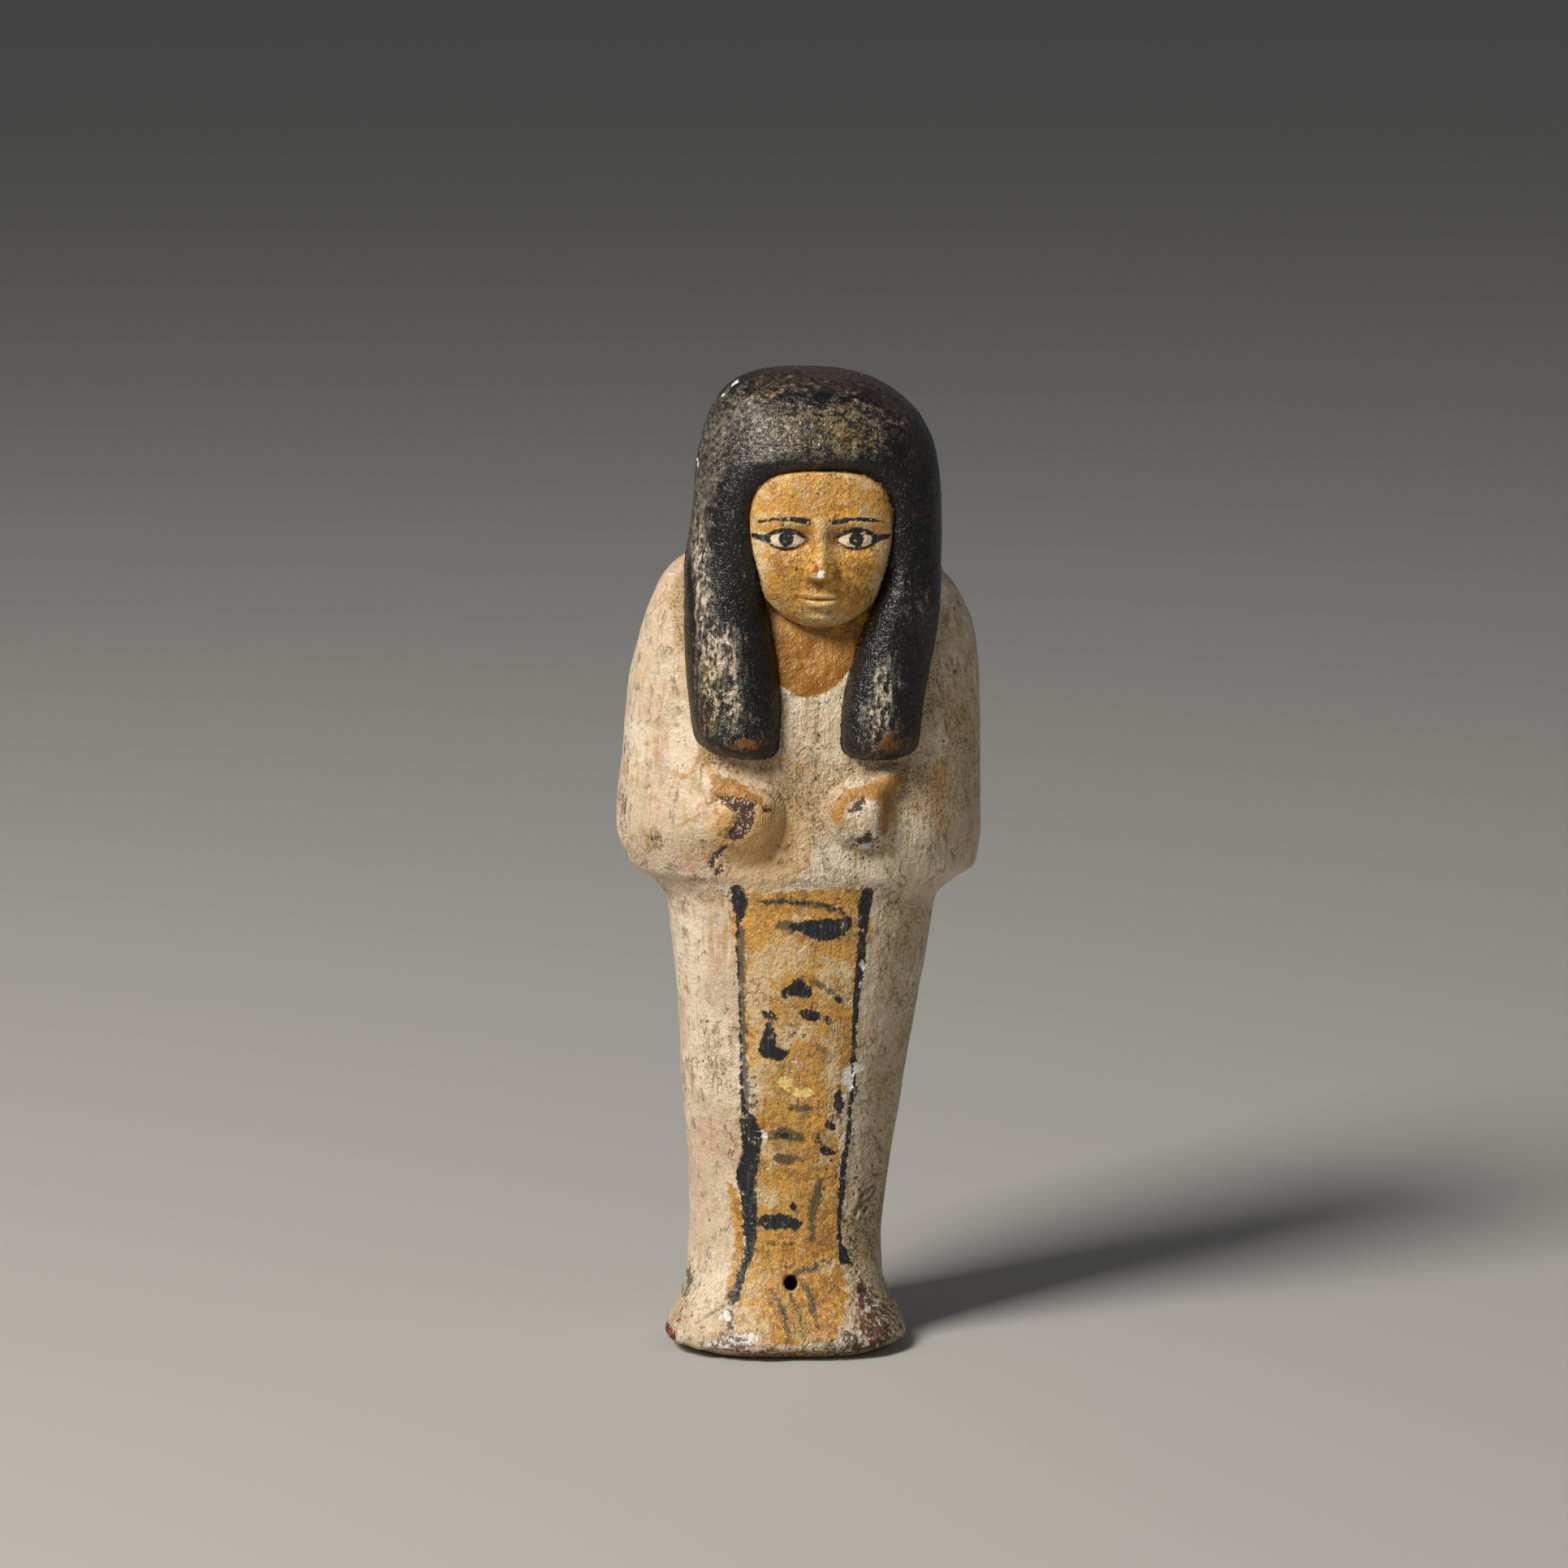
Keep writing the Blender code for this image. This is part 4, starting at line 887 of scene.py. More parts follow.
def paint_layers(angle, points):
    """Every painted or worn area of the skin, as millimetres inside it or as a weight from 0 to 1."""
    x, z = points[..., 0], points[..., 2]
    depth = -points[..., 1]
    on_front = depth > FRONT_START
    ahead, beside = smooth_step(*AHEAD, depth), smooth_step(*BESIDE, depth)
    off_front = np.where(on_front, 0.0, OFF_FRONT)
    panel = np.minimum(x - through(PANEL, 1, z), through(PANEL, 2, z) - x)
    panel = np.minimum.reduce([panel, PANEL_TOP + PANEL_SLOPE * x - z, z - PANEL_END])
    panel = panel * (1.0 - PANEL_SOFTENING * smooth_step(*PANEL_FOOT, z))
    panel = np.maximum(panel, best_stroke(x, z, OCHRE_SPILLS))
    neck = z - NECK_END - NECK_BEND * (x - NECK_MIDDLE) ** 2 + NECK_LIP
    black_face, eye_white = face_paint(x, z)
    rim, stain = stain_layers(x, z)
    margin = np.where(on_front, rub_margin(x, z), smooth_step(*LAPPET_TOPS, z)) * smooth_step(*RUBBED, depth)
    fades = {
        "hair_rub_and_sheen": margin,
        "clay_chip": smooth_step(*CHIPPED, depth),
        **dict.fromkeys(("hair_brown", "white_chip", "soil", "smudge_and_shade"), beside),
    }
    layers = {name: spots(x, z, table) * fades.get(name, ahead) for name, table in WEAR.items()}
    edge_on = np.exp(-(((depth - FRONT_START) / SLIVER_REACH) ** 2))
    slivers = smooth_step(-0.2, 0.1, best_stroke(x, z, CHALK_STROKES)) * edge_on
    layers["white_chip"] = np.maximum(layers["white_chip"], SLIVER_STRENGTH * slivers * beside)
    toe_rim = np.exp(-(((z - TOE_RIM) / TOE_RIM_REACH) ** 2)) * smooth_step(*TOE_FRONT, depth)
    layers["crumbled"] = np.clip(layers["crumbled"] + TOE_RIM_SHARE * toe_rim, 0.0, 1.1)
    layers.update({name: best_stroke(x, z, routes) + off_front for name, routes in STROKES.items()})
    return layers | {
        "hair": hair_inside(angle, x, z, depth, on_front),
        "skin": np.minimum(SKIN_LAP - opening_distance(x, z), neck) + off_front,
        "panel": panel + off_front,
        "black_face": black_face + off_front,
        "eye_white": eye_white + off_front,
        "fist": sum(knob(x, z, *fist, (0.5, 0.5)) for *fist, _ in FISTS) * ahead,
        "rim": rim + off_front,
        "stain": stain * ahead,
        "neck": 1.0 - smooth_step(CHIN - 3.0, CHIN + 1.0, z),
        "fall": 1.0 - smooth_step(*TO_DOME, z),
        "behind": 1.0 - smooth_step(*BEHIND, depth),
    }


def outward(points):
    """The skin's unit normals: the cross product of its slopes along the rows and the columns."""
    along = (np.roll(points, -1, axis=0) - np.roll(points, 1, axis=0)) / 2
    up = np.gradient(points, axis=1)
    normal = np.cross(along, up)
    return normal / np.maximum(np.linalg.norm(normal, axis=-1, keepdims=True), 1e-9)


def averaged(values, reach):
    """Each value blended with its neighbours this many columns and rows away, twice over."""
    for _ in range(2):
        total = sum(np.roll(values, step, axis=0) for step in range(-reach, reach + 1))
        values = total / (2 * reach + 1)
        padded = np.concatenate([values[:, :1]] * reach + [values] + [values[:, -1:]] * reach, axis=1)
        count = values.shape[1]
        values = sum(padded[:, step : step + count] for step in range(2 * reach + 1)) / (2 * reach + 1)
    return values


# Random swells of the skin, each with its rise, size and seed.
HAND_SWELLS = ((0.30, 15.0, 1), (0.13, 6.0, 2), (0.05, 2.2, 3), (0.035, 1.1, 4))
NECK_SWELLS = ((0.2, 1.4, 16), (0.25, 3.2, 17))
FIST_SWELLS = ((0.45, 3.6, 14), (0.2, 1.8, 15))
FOOT_SWELLS = ((0.35, 4.5, 8), (0.15, 2.0, 12))
CRUMB_SWELLS = ((0.22, 1.2, 11),)
HAIR_PITS = ((1.0, 1.3, 9), (0.5, 4.0, 10))
BROKEN_EDGES = ((1.0, 2.4, 6), (0.5, 1.1, 7))
# The brush's ridges run up and down, so heights count for little in their pattern.
BRUSH_RIDGES, BRUSH_STRETCH = ((0.04, 1.1, 5),), (1.0, 1.0, 0.16)
# The sole's ragged lip: its swells, its height, how soft it is, and how far the skin draws in under it.
LIP_SWELLS, LIP_STRETCH = ((0.5, 3.0, 13),), (1.0, 1.0, 0.1)
LIP_HEIGHT, LIP_SOFTNESS, LIP_DRAW = 1.7, 0.35, 0.55
FACE_SMOOTHNESS = 0.75
# The black's own thickness, and pits in it that are deepest where it is rubbed.
HAIR_FILM, HAIR_PIT_DEPTH, HAIR_PIT_LEAST = 0.10, 0.12, 0.3
CHIP_DEPTH = 0.25
# A scratch has a groove and a raised lip beside it: how deep, how high, how far out and how wide.
SCRATCH_DEPTH, SCRATCH_RISE, SCRATCH_OUT, SCRATCH_LIP = 0.28, 0.12, 0.55, 0.25


def swollen(points, rows):
    """The sum of several random swells."""
    return sum(rise * uneven(points, size, seed) for rise, size, seed in rows)


def handmade(points, layers):
    """Millimetres that the skin stands out: a hand's swells, a brush's ridges, chips, pits and cut marks."""
    x, z = points[..., 0], points[..., 2]
    on_face = smooth_step(-0.6, 0.8, layers["skin"]) * smooth_step(CHIN - 3.0, CHIN, z)
    on_hair = smooth_step(-0.2, 0.4, layers["hair"])
    on_neck = layers["neck"] * smooth_step(-0.4, 0.2, layers["skin"])
    brushed = swollen(points * BRUSH_STRETCH, BRUSH_RIDGES) * (1.0 - on_hair)
    relief = (swollen(points, HAND_SWELLS) + brushed) * (1.0 - FACE_SMOOTHNESS * on_face)
    relief = relief + on_neck * swollen(points, NECK_SWELLS)
    relief = relief + layers["fist"] * swollen(points, FIST_SWELLS)
    relief = relief + layers["crumbled"] * swollen(points, CRUMB_SWELLS)
    relief = relief + smooth_step(9.0, 2.0, z) * swollen(points, FOOT_SWELLS)
    pitted = smooth_step(0.15, 0.7, swollen(points, HAIR_PITS)) * (HAIR_PIT_LEAST + layers["hair_rub_and_sheen"])
    relief = relief + on_hair * (HAIR_FILM - HAIR_PIT_DEPTH * pitted)
    broken = swollen(points, BROKEN_EDGES)
    chips = smooth_step(0.0, 0.35, layers["clay_chip"] + layers["white_chip"] - 0.55 + 0.35 * broken)
    bare = smooth_step(-0.3, 0.3, layers["bare"] + 0.3 * broken)
    relief = relief - CHIP_DEPTH * np.maximum(chips, bare)
    lip = LIP_HEIGHT + swollen(points * LIP_STRETCH, LIP_SWELLS)
    relief = relief - LIP_DRAW * smooth_step(lip + LIP_SOFTNESS, lip - LIP_SOFTNESS, z)
    relief = relief - SCRATCH_DEPTH * smooth_step(-0.3, 0.15, layers["cut"])
    relief = relief + SCRATCH_RISE * np.exp(-(((layers["cut"] + SCRATCH_OUT) / SCRATCH_LIP) ** 2))
    x0, z0, half_width, half_height, swell = CLAY_DROP
    drop = np.clip(1.0 - ((x - x0) / half_width) ** 2 - ((z - z0) / half_height) ** 2, 0.0, 1.0) ** 0.5
    return relief + swell * drop * (layers["behind"] < 0.5)


def pierced(points, normals):
    """The skin with the instep hole pressed in along its normal, and how deep in the hole each point is."""
    x, z = points[..., 0], points[..., 2]
    depth = -points[..., 1]
    away = np.hypot(x - HOLE_ACROSS, z - HOLE_UP) - HOLE_RADIUS
    pressed = np.where(depth > 0, 1.0 - smooth_step(-HOLE_RIM, HOLE_EDGE, away), 0.0)
    rim = HOLE_LIP * np.exp(-((away / HOLE_LIP_WIDTH) ** 2)) * (depth > 0)
    return points + normals * (rim - HOLE_DEPTH * pressed)[..., None], pressed


# How many rows and columns away a place is compared with its surroundings, for hollows and for creases.
HOLLOW_REACH, CREASE_REACH = 6, 2
# The hand's relief grows over this height above the sole, which stays flat.
SOLE_FADE = 0.9


def figure():
    """The whole skin as a grid of points with its layers: rings across the sole, then rows to the crown."""
    heights = row_heights()
    angles = column_angles(heights)
    points = surface(angles, heights[None, :])
    low, high = points.reshape(-1, 3).min(axis=0), points.reshape(-1, 3).max(axis=0)
    layers = paint_layers(angles, points)
    normals = outward(points)
    above_sole = smooth_step(0.0, SOLE_FADE, points[..., 2])
    layers["hollow"] = ((averaged(points, HOLLOW_REACH) - points) * normals).sum(axis=-1)
    layers["crease"] = ((averaged(points, CREASE_REACH) - points) * normals).sum(axis=-1)
    points = points + normals * (handmade(points, layers) * above_sole)[..., None]
    points, layers["well"] = pierced(points, normals)
    rim = points[:, 0]
    middle = rim.mean(axis=0)
    shares = (np.arange(1, SOLE_RINGS) / SOLE_RINGS)[None, :, None]
    sole = middle + (rim[:, None] - middle) * shares
    points = np.concatenate([sole, points], axis=1)
    layers["raw"] = np.zeros_like(layers["hair"])
    for name, values in layers.items():
        under = np.repeat(values[:, :1], SOLE_RINGS - 1, axis=1)
        layers[name] = np.concatenate([under, values], axis=1)
    layers["raw"][:, : SOLE_RINGS - 1] = 1.0
    points[..., :2] -= ((low + high) / 2)[:2]
    return points, layers


def skin_mesh(points, layers):
    """Quads between neighbouring columns and rows, and fans to a point under the sole and at the crown."""
    columns, rows = points.shape[:2]
    under, crown = points[:, 0].mean(axis=0), points[:, -1].mean(axis=0)
    under[2], crown[2] = 0.0, DESIGN_HEIGHT
    flat = np.concatenate([points.transpose(1, 0, 2).reshape(-1, 3), [under, crown]])
    start = np.arange(rows - 1)[:, None] * columns
    here, beside = np.arange(columns), (np.arange(columns) + 1) % columns
    quads = [start + here, start + beside, start + columns + beside, start + columns + here]
    quads = np.stack(quads, axis=-1).reshape(-1, 4)
    last, poles = (rows - 1) * columns, rows * columns
    sole = np.stack([beside, here, np.full(columns, poles)], axis=-1)
    top = np.stack([last + here, last + beside, np.full(columns, poles + 1)], axis=-1)
    mesh = bpy.data.meshes.new("painted_statuette")
    mesh.from_pydata((flat * UNIT).tolist(), [], quads.tolist() + sole.tolist() + top.tolist())
    mesh.shade_smooth()
    for name, values in layers.items():
        stored = mesh.attributes.new(name, "FLOAT", "POINT")
        ends = [values[:, 0].mean(), values[:, -1].mean()]
        stored.data.foreach_set("value", np.concatenate([values.T.ravel(), ends]).astype(np.float32))
    mesh.update()
    return mesh


def colour(red, green, blue):
    """A shader colour from the eye's own 0 to 255 steps, by the standard curve."""
    share = np.array([red, green, blue]) / 255
    linear = np.where(share <= 0.04045, share / 12.92, ((share + 0.055) / 1.055) ** 2.4)
    return (*linear.tolist(), 1.0)


GROUND = colour(206, 182, 150)
GROUND_PALE = colour(228, 208, 180)
GROUND_PINK = colour(214, 180, 154)
GROUND_GREY = colour(160, 146, 122)
TAN = colour(180, 147, 96)
TAN_STAIN = colour(214, 182, 130)
OCHRE = colour(192, 138, 58)
OCHRE_DEEP = colour(160, 108, 38)
OCHRE_BRIGHT = colour(210, 154, 62)
OCHRE_BROWN = colour(138, 86, 32)
OCHRE_CREAM = colour(224, 197, 144)
WIG_BLACK = colour(13, 12, 12)
WIG_GREY = colour(122, 114, 102)
WIG_MAUVE = colour(92, 82, 76)
WIG_KHAKI = colour(116, 98, 62)
WIG_BROWN = colour(72, 54, 41)
WIG_OCHRE = colour(146, 90, 30)
INK = colour(25, 27, 29)
INK_STREAK_AND_SHEEN = colour(92, 98, 94)
WASH = colour(72, 70, 52)
SPECK = colour(50, 38, 28)
GRIME_AND_SHADE = colour(112, 92, 58)
SMUT_AND_SHADE = colour(58, 54, 48)
FIRED_CLAY = colour(172, 80, 44)
DARK_CLAY = colour(58, 43, 36)
RUST = colour(104, 54, 38)
CHALK = colour(238, 232, 222)
FLAKE = colour(244, 214, 136)
# Painted shade inside the pierced hole.
HOLE_SHADE = colour(16, 12, 10)


ALIKE = (1.0, 1.0, 1.0)
# Each noise is shifted by so many of its own sizes, so that no two line up.
NOISE_SHIFT = (7.3, 3.1, 5.7)
# The noises that the finishes share: size, octaves, how much longer along each axis, and roughness.
NOISES = {
    "broad": (16.0, 2.0, ALIKE, 0.55),
    "mottled": (5.0, 3.0, ALIKE, 0.62),
    "patchy": (2.4, 3.0, ALIKE, 0.68),
    "ragged": (1.4, 3.0, ALIKE, 0.68),
    "crumbs": (0.85, 2.0, ALIKE, 0.7),
    "grain": (0.42, 1.0, ALIKE, 0.7),
    "streaks": (1.8, 2.0, (1.0, 1.0, 9.0), 0.6),
    "fine_streaks": (0.7, 2.0, (1.0, 1.0, 6.0), 0.65),
    "pits": (0.8, 1.0, (1.0, 1.0, 1.6), 0.5),
    "flecks": (1.4, 1.0, (1.0, 1.0, 1.3), 0.5),
    "wander": (6.0, 3.0, (1.0, 1.0, 2.2), 0.6),
    "across": (0.9, 2.0, (1.8, 1.8, 1.0), 0.68),
    "upright": (0.75, 2.0, (1.0, 1.0, 3.4), 0.66),
    "web": (1.5, 2.0, (1.0, 1.0, 0.8), 0.6),
}


class Recipe:
    """Builds a material's nodes from fields: noises in design millimetres, and the skin's layers."""

    def __init__(self, name):
        self.material = bpy.data.materials.new(name)
        self.material.use_nodes = True
        self.tree = self.material.node_tree
        self.shader = self.tree.nodes["Principled BSDF"]
        place = self.tree.nodes.new("ShaderNodeTexCoord").outputs["Object"]
        scaled = self.tree.nodes.new("ShaderNodeVectorMath")
        scaled.operation = "SCALE"
        scaled.inputs["Scale"].default_value = 1.0 / UNIT
        self.link(place, scaled.inputs[0])
        self.place = scaled.outputs[0]
        self.fields = {field: self.noise(*row) for field, row in NOISES.items()}

    def link(self, source, socket):
        """Joins an output, or sets a plain value."""
        if isinstance(source, bpy.types.NodeSocket):
            self.tree.links.new(source, socket)
        else:
            socket.default_value = source

    def field(self, name):
        """A noise, a kept value or else a layer of the skin, by its name."""
        if name not in self.fields:
            node = self.tree.nodes.new("ShaderNodeAttribute")
            node.attribute_name = name
            self.fields[name] = node.outputs["Fac"]
        return self.fields[name]

    def keep(self, name, value):
        """Names a value worked out here, so that it can be used as a field."""
        self.fields[name] = value
        return value

    def maths(self, operation, first, second=0.0, third=0.0):
        """One step of arithmetic."""
        node = self.tree.nodes.new("ShaderNodeMath")
        node.operation = operation
        for value, socket in zip((first, second, third), node.inputs):
            self.link(value, socket)
        return node.outputs[0]

    def times(self, value, other):
        """The product of two values."""
        return self.maths("MULTIPLY", value, other)

    def less(self, value):
        """What is left of 1."""
        return self.maths("SUBTRACT", 1.0, value)

    def greatest(self, first, *others):
        """The largest of several values."""
        for other in others:
            first = self.maths("MAXIMUM", first, other)
        return first

    def total(self, first, **shares):
        """A field or a value, plus a share of each field named."""
        value = self.field(first) if isinstance(first, str) else first
        for name, share in shares.items():
            value = self.maths("MULTIPLY_ADD", self.field(name), share, value)
        return value

    def where(self, span, first, **shares):
        """An S curve of such a total, from 0 at the span's start to 1 at its end."""
        node = self.tree.nodes.new("ShaderNodeMapRange")
        node.interpolation_type = "SMOOTHSTEP"
        self.link(self.total(first, **shares), node.inputs["Value"])
        node.inputs["From Min"].default_value, node.inputs["From Max"].default_value = span
        return node.outputs["Result"]

    def noise(self, size, detail, stretch, roughness):
        """Noise about 0, mostly from -0.3 to 0.3, with features of this size, stretched along each axis."""
        squeeze = self.tree.nodes.new("ShaderNodeMapping")
        squeeze.inputs["Scale"].default_value = [1.0 / (size * s) for s in stretch]
        squeeze.inputs["Location"].default_value = [size * shift for shift in NOISE_SHIFT]
        self.link(self.place, squeeze.inputs["Vector"])
        node = self.tree.nodes.new("ShaderNodeTexNoise")
        node.inputs["Scale"].default_value = 1.0
        node.inputs["Detail"].default_value = detail
        node.inputs["Roughness"].default_value = roughness
        self.link(squeeze.outputs[0], node.inputs["Vector"])
        return self.maths("SUBTRACT", node.outputs["Fac"], 0.5)

    def mix(self, share, under, over, strength=1.0):
        """The colour over, laid on the colour under where share is 1, at this strength."""
        node = self.tree.nodes.new("ShaderNodeMix")
        node.data_type = "RGBA"
        if strength != 1.0:
            share = self.times(share, strength)
        self.link(share, node.inputs["Factor"])
        self.link(under, node.inputs[6])
        self.link(over, node.inputs[7])
        return node.outputs[2]

    def coat(self, under, over, strength, span, first, within=1.0, **shares):
        """The colour over, laid on the colour under where a total passes through the span, within a mask."""
        share = self.where(span, first, **shares)
        if within != 1.0:
            share = self.times(share, within)
        return self.mix(share, under, over, strength)

    def blend(self, share, under, over):
        """A number between under and over."""
        node = self.tree.nodes.new("ShaderNodeMix")
        self.link(share, node.inputs["Factor"])
        self.link(under, node.inputs[2])
        self.link(over, node.inputs[3])
        return node.outputs[0]


def cream_ground(r):
    """The cream wash: pale, pink and tan drifts, in worn places streaks, stipple, stains and cracks, and
    painted shade along the sole's lip and under the lappets.
    """
    tone = r.coat(GROUND, GROUND_PALE, 1.0, (-0.06, 0.08), "broad", mottled=0.5)
    tone = r.coat(tone, GROUND_PINK, 0.85, (0.0, 0.16), "mottled", broad=-0.8)
    tone = r.coat(tone, TAN, 0.65, (0.02, 0.18), "streaks", mottled=0.7)
    tone = r.coat(tone, GROUND_GREY, 0.5, (0.06, 0.2), "patchy", streaks=-0.9)
    tone = r.coat(tone, CHALK, 0.35, (0.06, 0.2), "fine_streaks", streaks=0.5)
    # Worn places follow the soil layer, so they take in its painted shade too.
    worn = r.keep("worn", r.where((0.0, 0.6), "soil", broad=2.6, mottled=1.6))
    tone = r.coat(tone, GRIME_AND_SHADE, 0.5, (0.0, -0.16), "fine_streaks", worn)
    tone = r.coat(tone, GRIME_AND_SHADE, 0.45, (0.0, 0.2), "fine", worn)
    tone = r.coat(tone, CHALK, 0.45, (-0.1, -0.26), "fine")
    tone = r.coat(tone, TAN_STAIN, 0.8, (0.1, 1.0), "stain")
    tone = r.coat(tone, GROUND_PALE, 0.95, (-0.1, -0.8), "stain")
    tone = r.coat(tone, OCHRE, 0.75, (-0.28, -0.04), "rim", ragged=0.7, patchy=0.7)
    tone = r.coat(tone, OCHRE, 0.65, (0.2, 0.95), "ochre_tint", patchy=1.5, mottled=0.9)
    # More tan and stipple where the skin is hollow; the soil layer also lays painted shade along the sole's
    # lip and under the lappets' ends.
    r.keep("deep", r.where((0.1, 0.6), "hollow"))
    soil = r.total("soil", deep=0.6, mottled=1.5)
    tone = r.coat(tone, TAN, 0.55, (0.1, 1.0), soil)
    stipple = r.total(soil, grain=4.2, crumbs=1.5)
    tone = r.coat(tone, GRIME_AND_SHADE, 0.6, (0.95, 1.5), stipple)
    tone = r.coat(tone, SPECK, 0.45, (1.55, 1.9), stipple)
    # Smudges, with painted shade along the sole's lip.
    tone = r.coat(tone, SMUT_AND_SHADE, 0.85, (0.5, 0.9), "smudge_and_shade", fine_streaks=2.4, crumbs=1.6)
    return r.mix(r.field("cracks"), tone, GRIME_AND_SHADE, 0.55)


def ochre_wash(r, under):
    """Ochre brushed over the cream: bright and deep drifts, worn thin in patches so the cream shows."""
    tone = r.coat(OCHRE_BRIGHT, OCHRE, 1.0, (-0.1, 0.12), "mottled", streaks=0.6)
    tone = r.coat(tone, OCHRE_DEEP, 0.9, (0.0, 0.14), "patchy", mottled=-0.8, soil=0.1)
    tone = r.coat(tone, FLAKE, 0.45, (-0.1, -0.26), "fine")
    tone = r.coat(tone, OCHRE_BROWN, 0.6, (0.06, 0.22), "fine")
    showing = r.mix(0.7, under, OCHRE_CREAM)
    showing = r.coat(showing, OCHRE, 0.45, (0.0, 0.26), "ragged", patchy=0.5, crumbs=0.6)
    tone = r.coat(tone, showing, 0.9, (0.22, 0.66), "pale", patchy=2.8, mottled=1.2, crumbs=1.8)
    return r.coat(tone, GRIME_AND_SHADE, 0.6, (0.1, 0.22), "mottled", patchy=-0.6, crumbs=0.8, soil=0.05)


def ochre_parts(r, cream):
    """The panel, fists, face and neck in ochre on the cream, with bright flakes."""
    ochre = ochre_wash(r, cream)
    tone = r.coat(cream, ochre, 0.96, (-0.35, 0.25), "panel", ragged=2.2, crumbled=-1.4, patchy=2.0)
    sandy = r.coat(OCHRE_DEEP, OCHRE_BROWN, 0.8, (-0.02, 0.14), "crumbs", grain=0.8)
    sandy = r.coat(sandy, OCHRE, 0.6, (0.0, 0.2), "mottled")
    hands = r.mix(0.2, sandy, OCHRE_BRIGHT)
    tone = r.coat(tone, hands, 0.95, (-0.4, 0.25), "wrist_ochre", ragged=2.2, mottled=1.6)
    neck = r.field("neck")
    flesh = r.coat(ochre, OCHRE_CREAM, 0.6, (0.04, 0.26), "mottled", r.less(neck), crease=-1.0, crumbs=0.6)
    flesh = r.mix(r.field("cracks"), flesh, OCHRE_BROWN, 0.5)
    flesh = r.coat(flesh, OCHRE_BROWN, 0.75, (0.06, 0.26), "crease", crumbs=0.4)
    bare_skin = r.keep("bare_skin", r.where((-0.2, 0.2), "skin", ragged=2.4))
    tone = r.mix(bare_skin, tone, flesh)
    tone = r.mix(r.times(neck, bare_skin), tone, sandy, 0.95)
    near = r.where((0.15, 0.4), "flake")
    return r.coat(tone, FLAKE, 1.0, (0.5, 0.62), "flake", near, ragged=2.6, crumbs=2.2)


def painted_lines(r, tone):
    """The whites of the eyes, wash strokes, and black strokes worn at their edges, with pale streaks for dry
    brushing and a painted sheen.
    """
    tone = r.coat(tone, GROUND_PALE, 0.85, (-0.1, 0.1), "eye_white", ragged=0.3)
    tone = r.coat(tone, WASH, 0.85, (-0.3, 0.3), "wash_paint", ragged=2.0, crumbs=1.4)
    film = r.coat(INK, WASH, 0.5, (0.02, 0.2), "patchy", crumbs=0.8)
    # Pale grey streaks in the black: dry brushing and painted highlight of the ink's sheen.
    film = r.coat(film, INK_STREAK_AND_SHEEN, 0.55, (0.04, 0.2), "fine_streaks", streaks=0.5)
    whole = r.where((0.3, 0.16), "patchy", crumbs=1.2)
    ink = r.keep("ink", r.where((-0.16, 0.14), "black_paint", ragged=1.7, crumbs=1.1))
    tone = r.mix(r.times(ink, whole), tone, film)
    return r.coat(tone, film, 1.0, (-0.1, 0.12), "black_face", whole, ragged=0.8, crumbs=0.5)


def wig_black(r):
    """Waxy black, rubbed to a crackled grey and khaki, with brown and ochre where it is thinnest, and pale
    streaks painted in as highlights of its sheen.
    """
    marks = r.keep("marks", r.blend(r.field("fall"), r.field("across"), r.field("upright")))
    rub_and_sheen = r.keep("rub_and_sheen", r.where((0.32, 0.92), "hair_rub_and_sheen", patchy=1.6, mottled=1.5, marks=-1.3))
    bare = r.coat(WIG_MAUVE, WIG_GREY, 1.0, (-0.1, 0.12), "patchy")
    bare = r.coat(bare, WIG_KHAKI, 0.85, (0.2, 0.9), "hair_khaki", mottled=1.6, crumbs=0.8)
    # Pale marks in the rubbed places and pale upright streaks on the lappets' crests: partly wear, partly
    # painted highlight of the waxy sheen.
    bare = r.coat(bare, GROUND, 0.45, (-0.08, -0.24), marks, crumbs=0.8)
    crest = r.times(r.where((0.7, 1.1), "hair_rub_and_sheen"), r.field("fall"))
    bare = r.coat(bare, GROUND_PALE, 0.8, (0.05, -0.11), "upright", crest, crumbs=0.5)
    tone = r.coat(WIG_BLACK, WIG_BROWN, 0.35, (0.05, 0.25), "mottled", grain=0.6)
    tone = r.coat(tone, WIG_BROWN, 0.8, (0.3, 0.8), "hair_brown", mottled=1.5, crumbs=1.2)
    tone = r.mix(rub_and_sheen, tone, bare, 0.9)
    gold = r.coat(WIG_OCHRE, WIG_KHAKI, 0.7, (-0.1, 0.15), "mottled")
    tone = r.coat(tone, gold, 0.75, (0.25, 1.05), "hair_ochre", patchy=2.2, crumbs=1.8)
    web = r.where((0.05, 0.015), r.maths("ABSOLUTE", r.field("web")))
    web = r.times(web, r.where((-0.12, 0.04), "mottled"))
    pitted = r.keep("pitted", r.greatest(r.where((0.03, 0.13), marks, crumbs=0.7, mottled=0.5), web))
    tone = r.mix(pitted, tone, WIG_BLACK, 0.9)
    return r.mix(r.field("cracks"), tone, WIG_BLACK, 0.8)


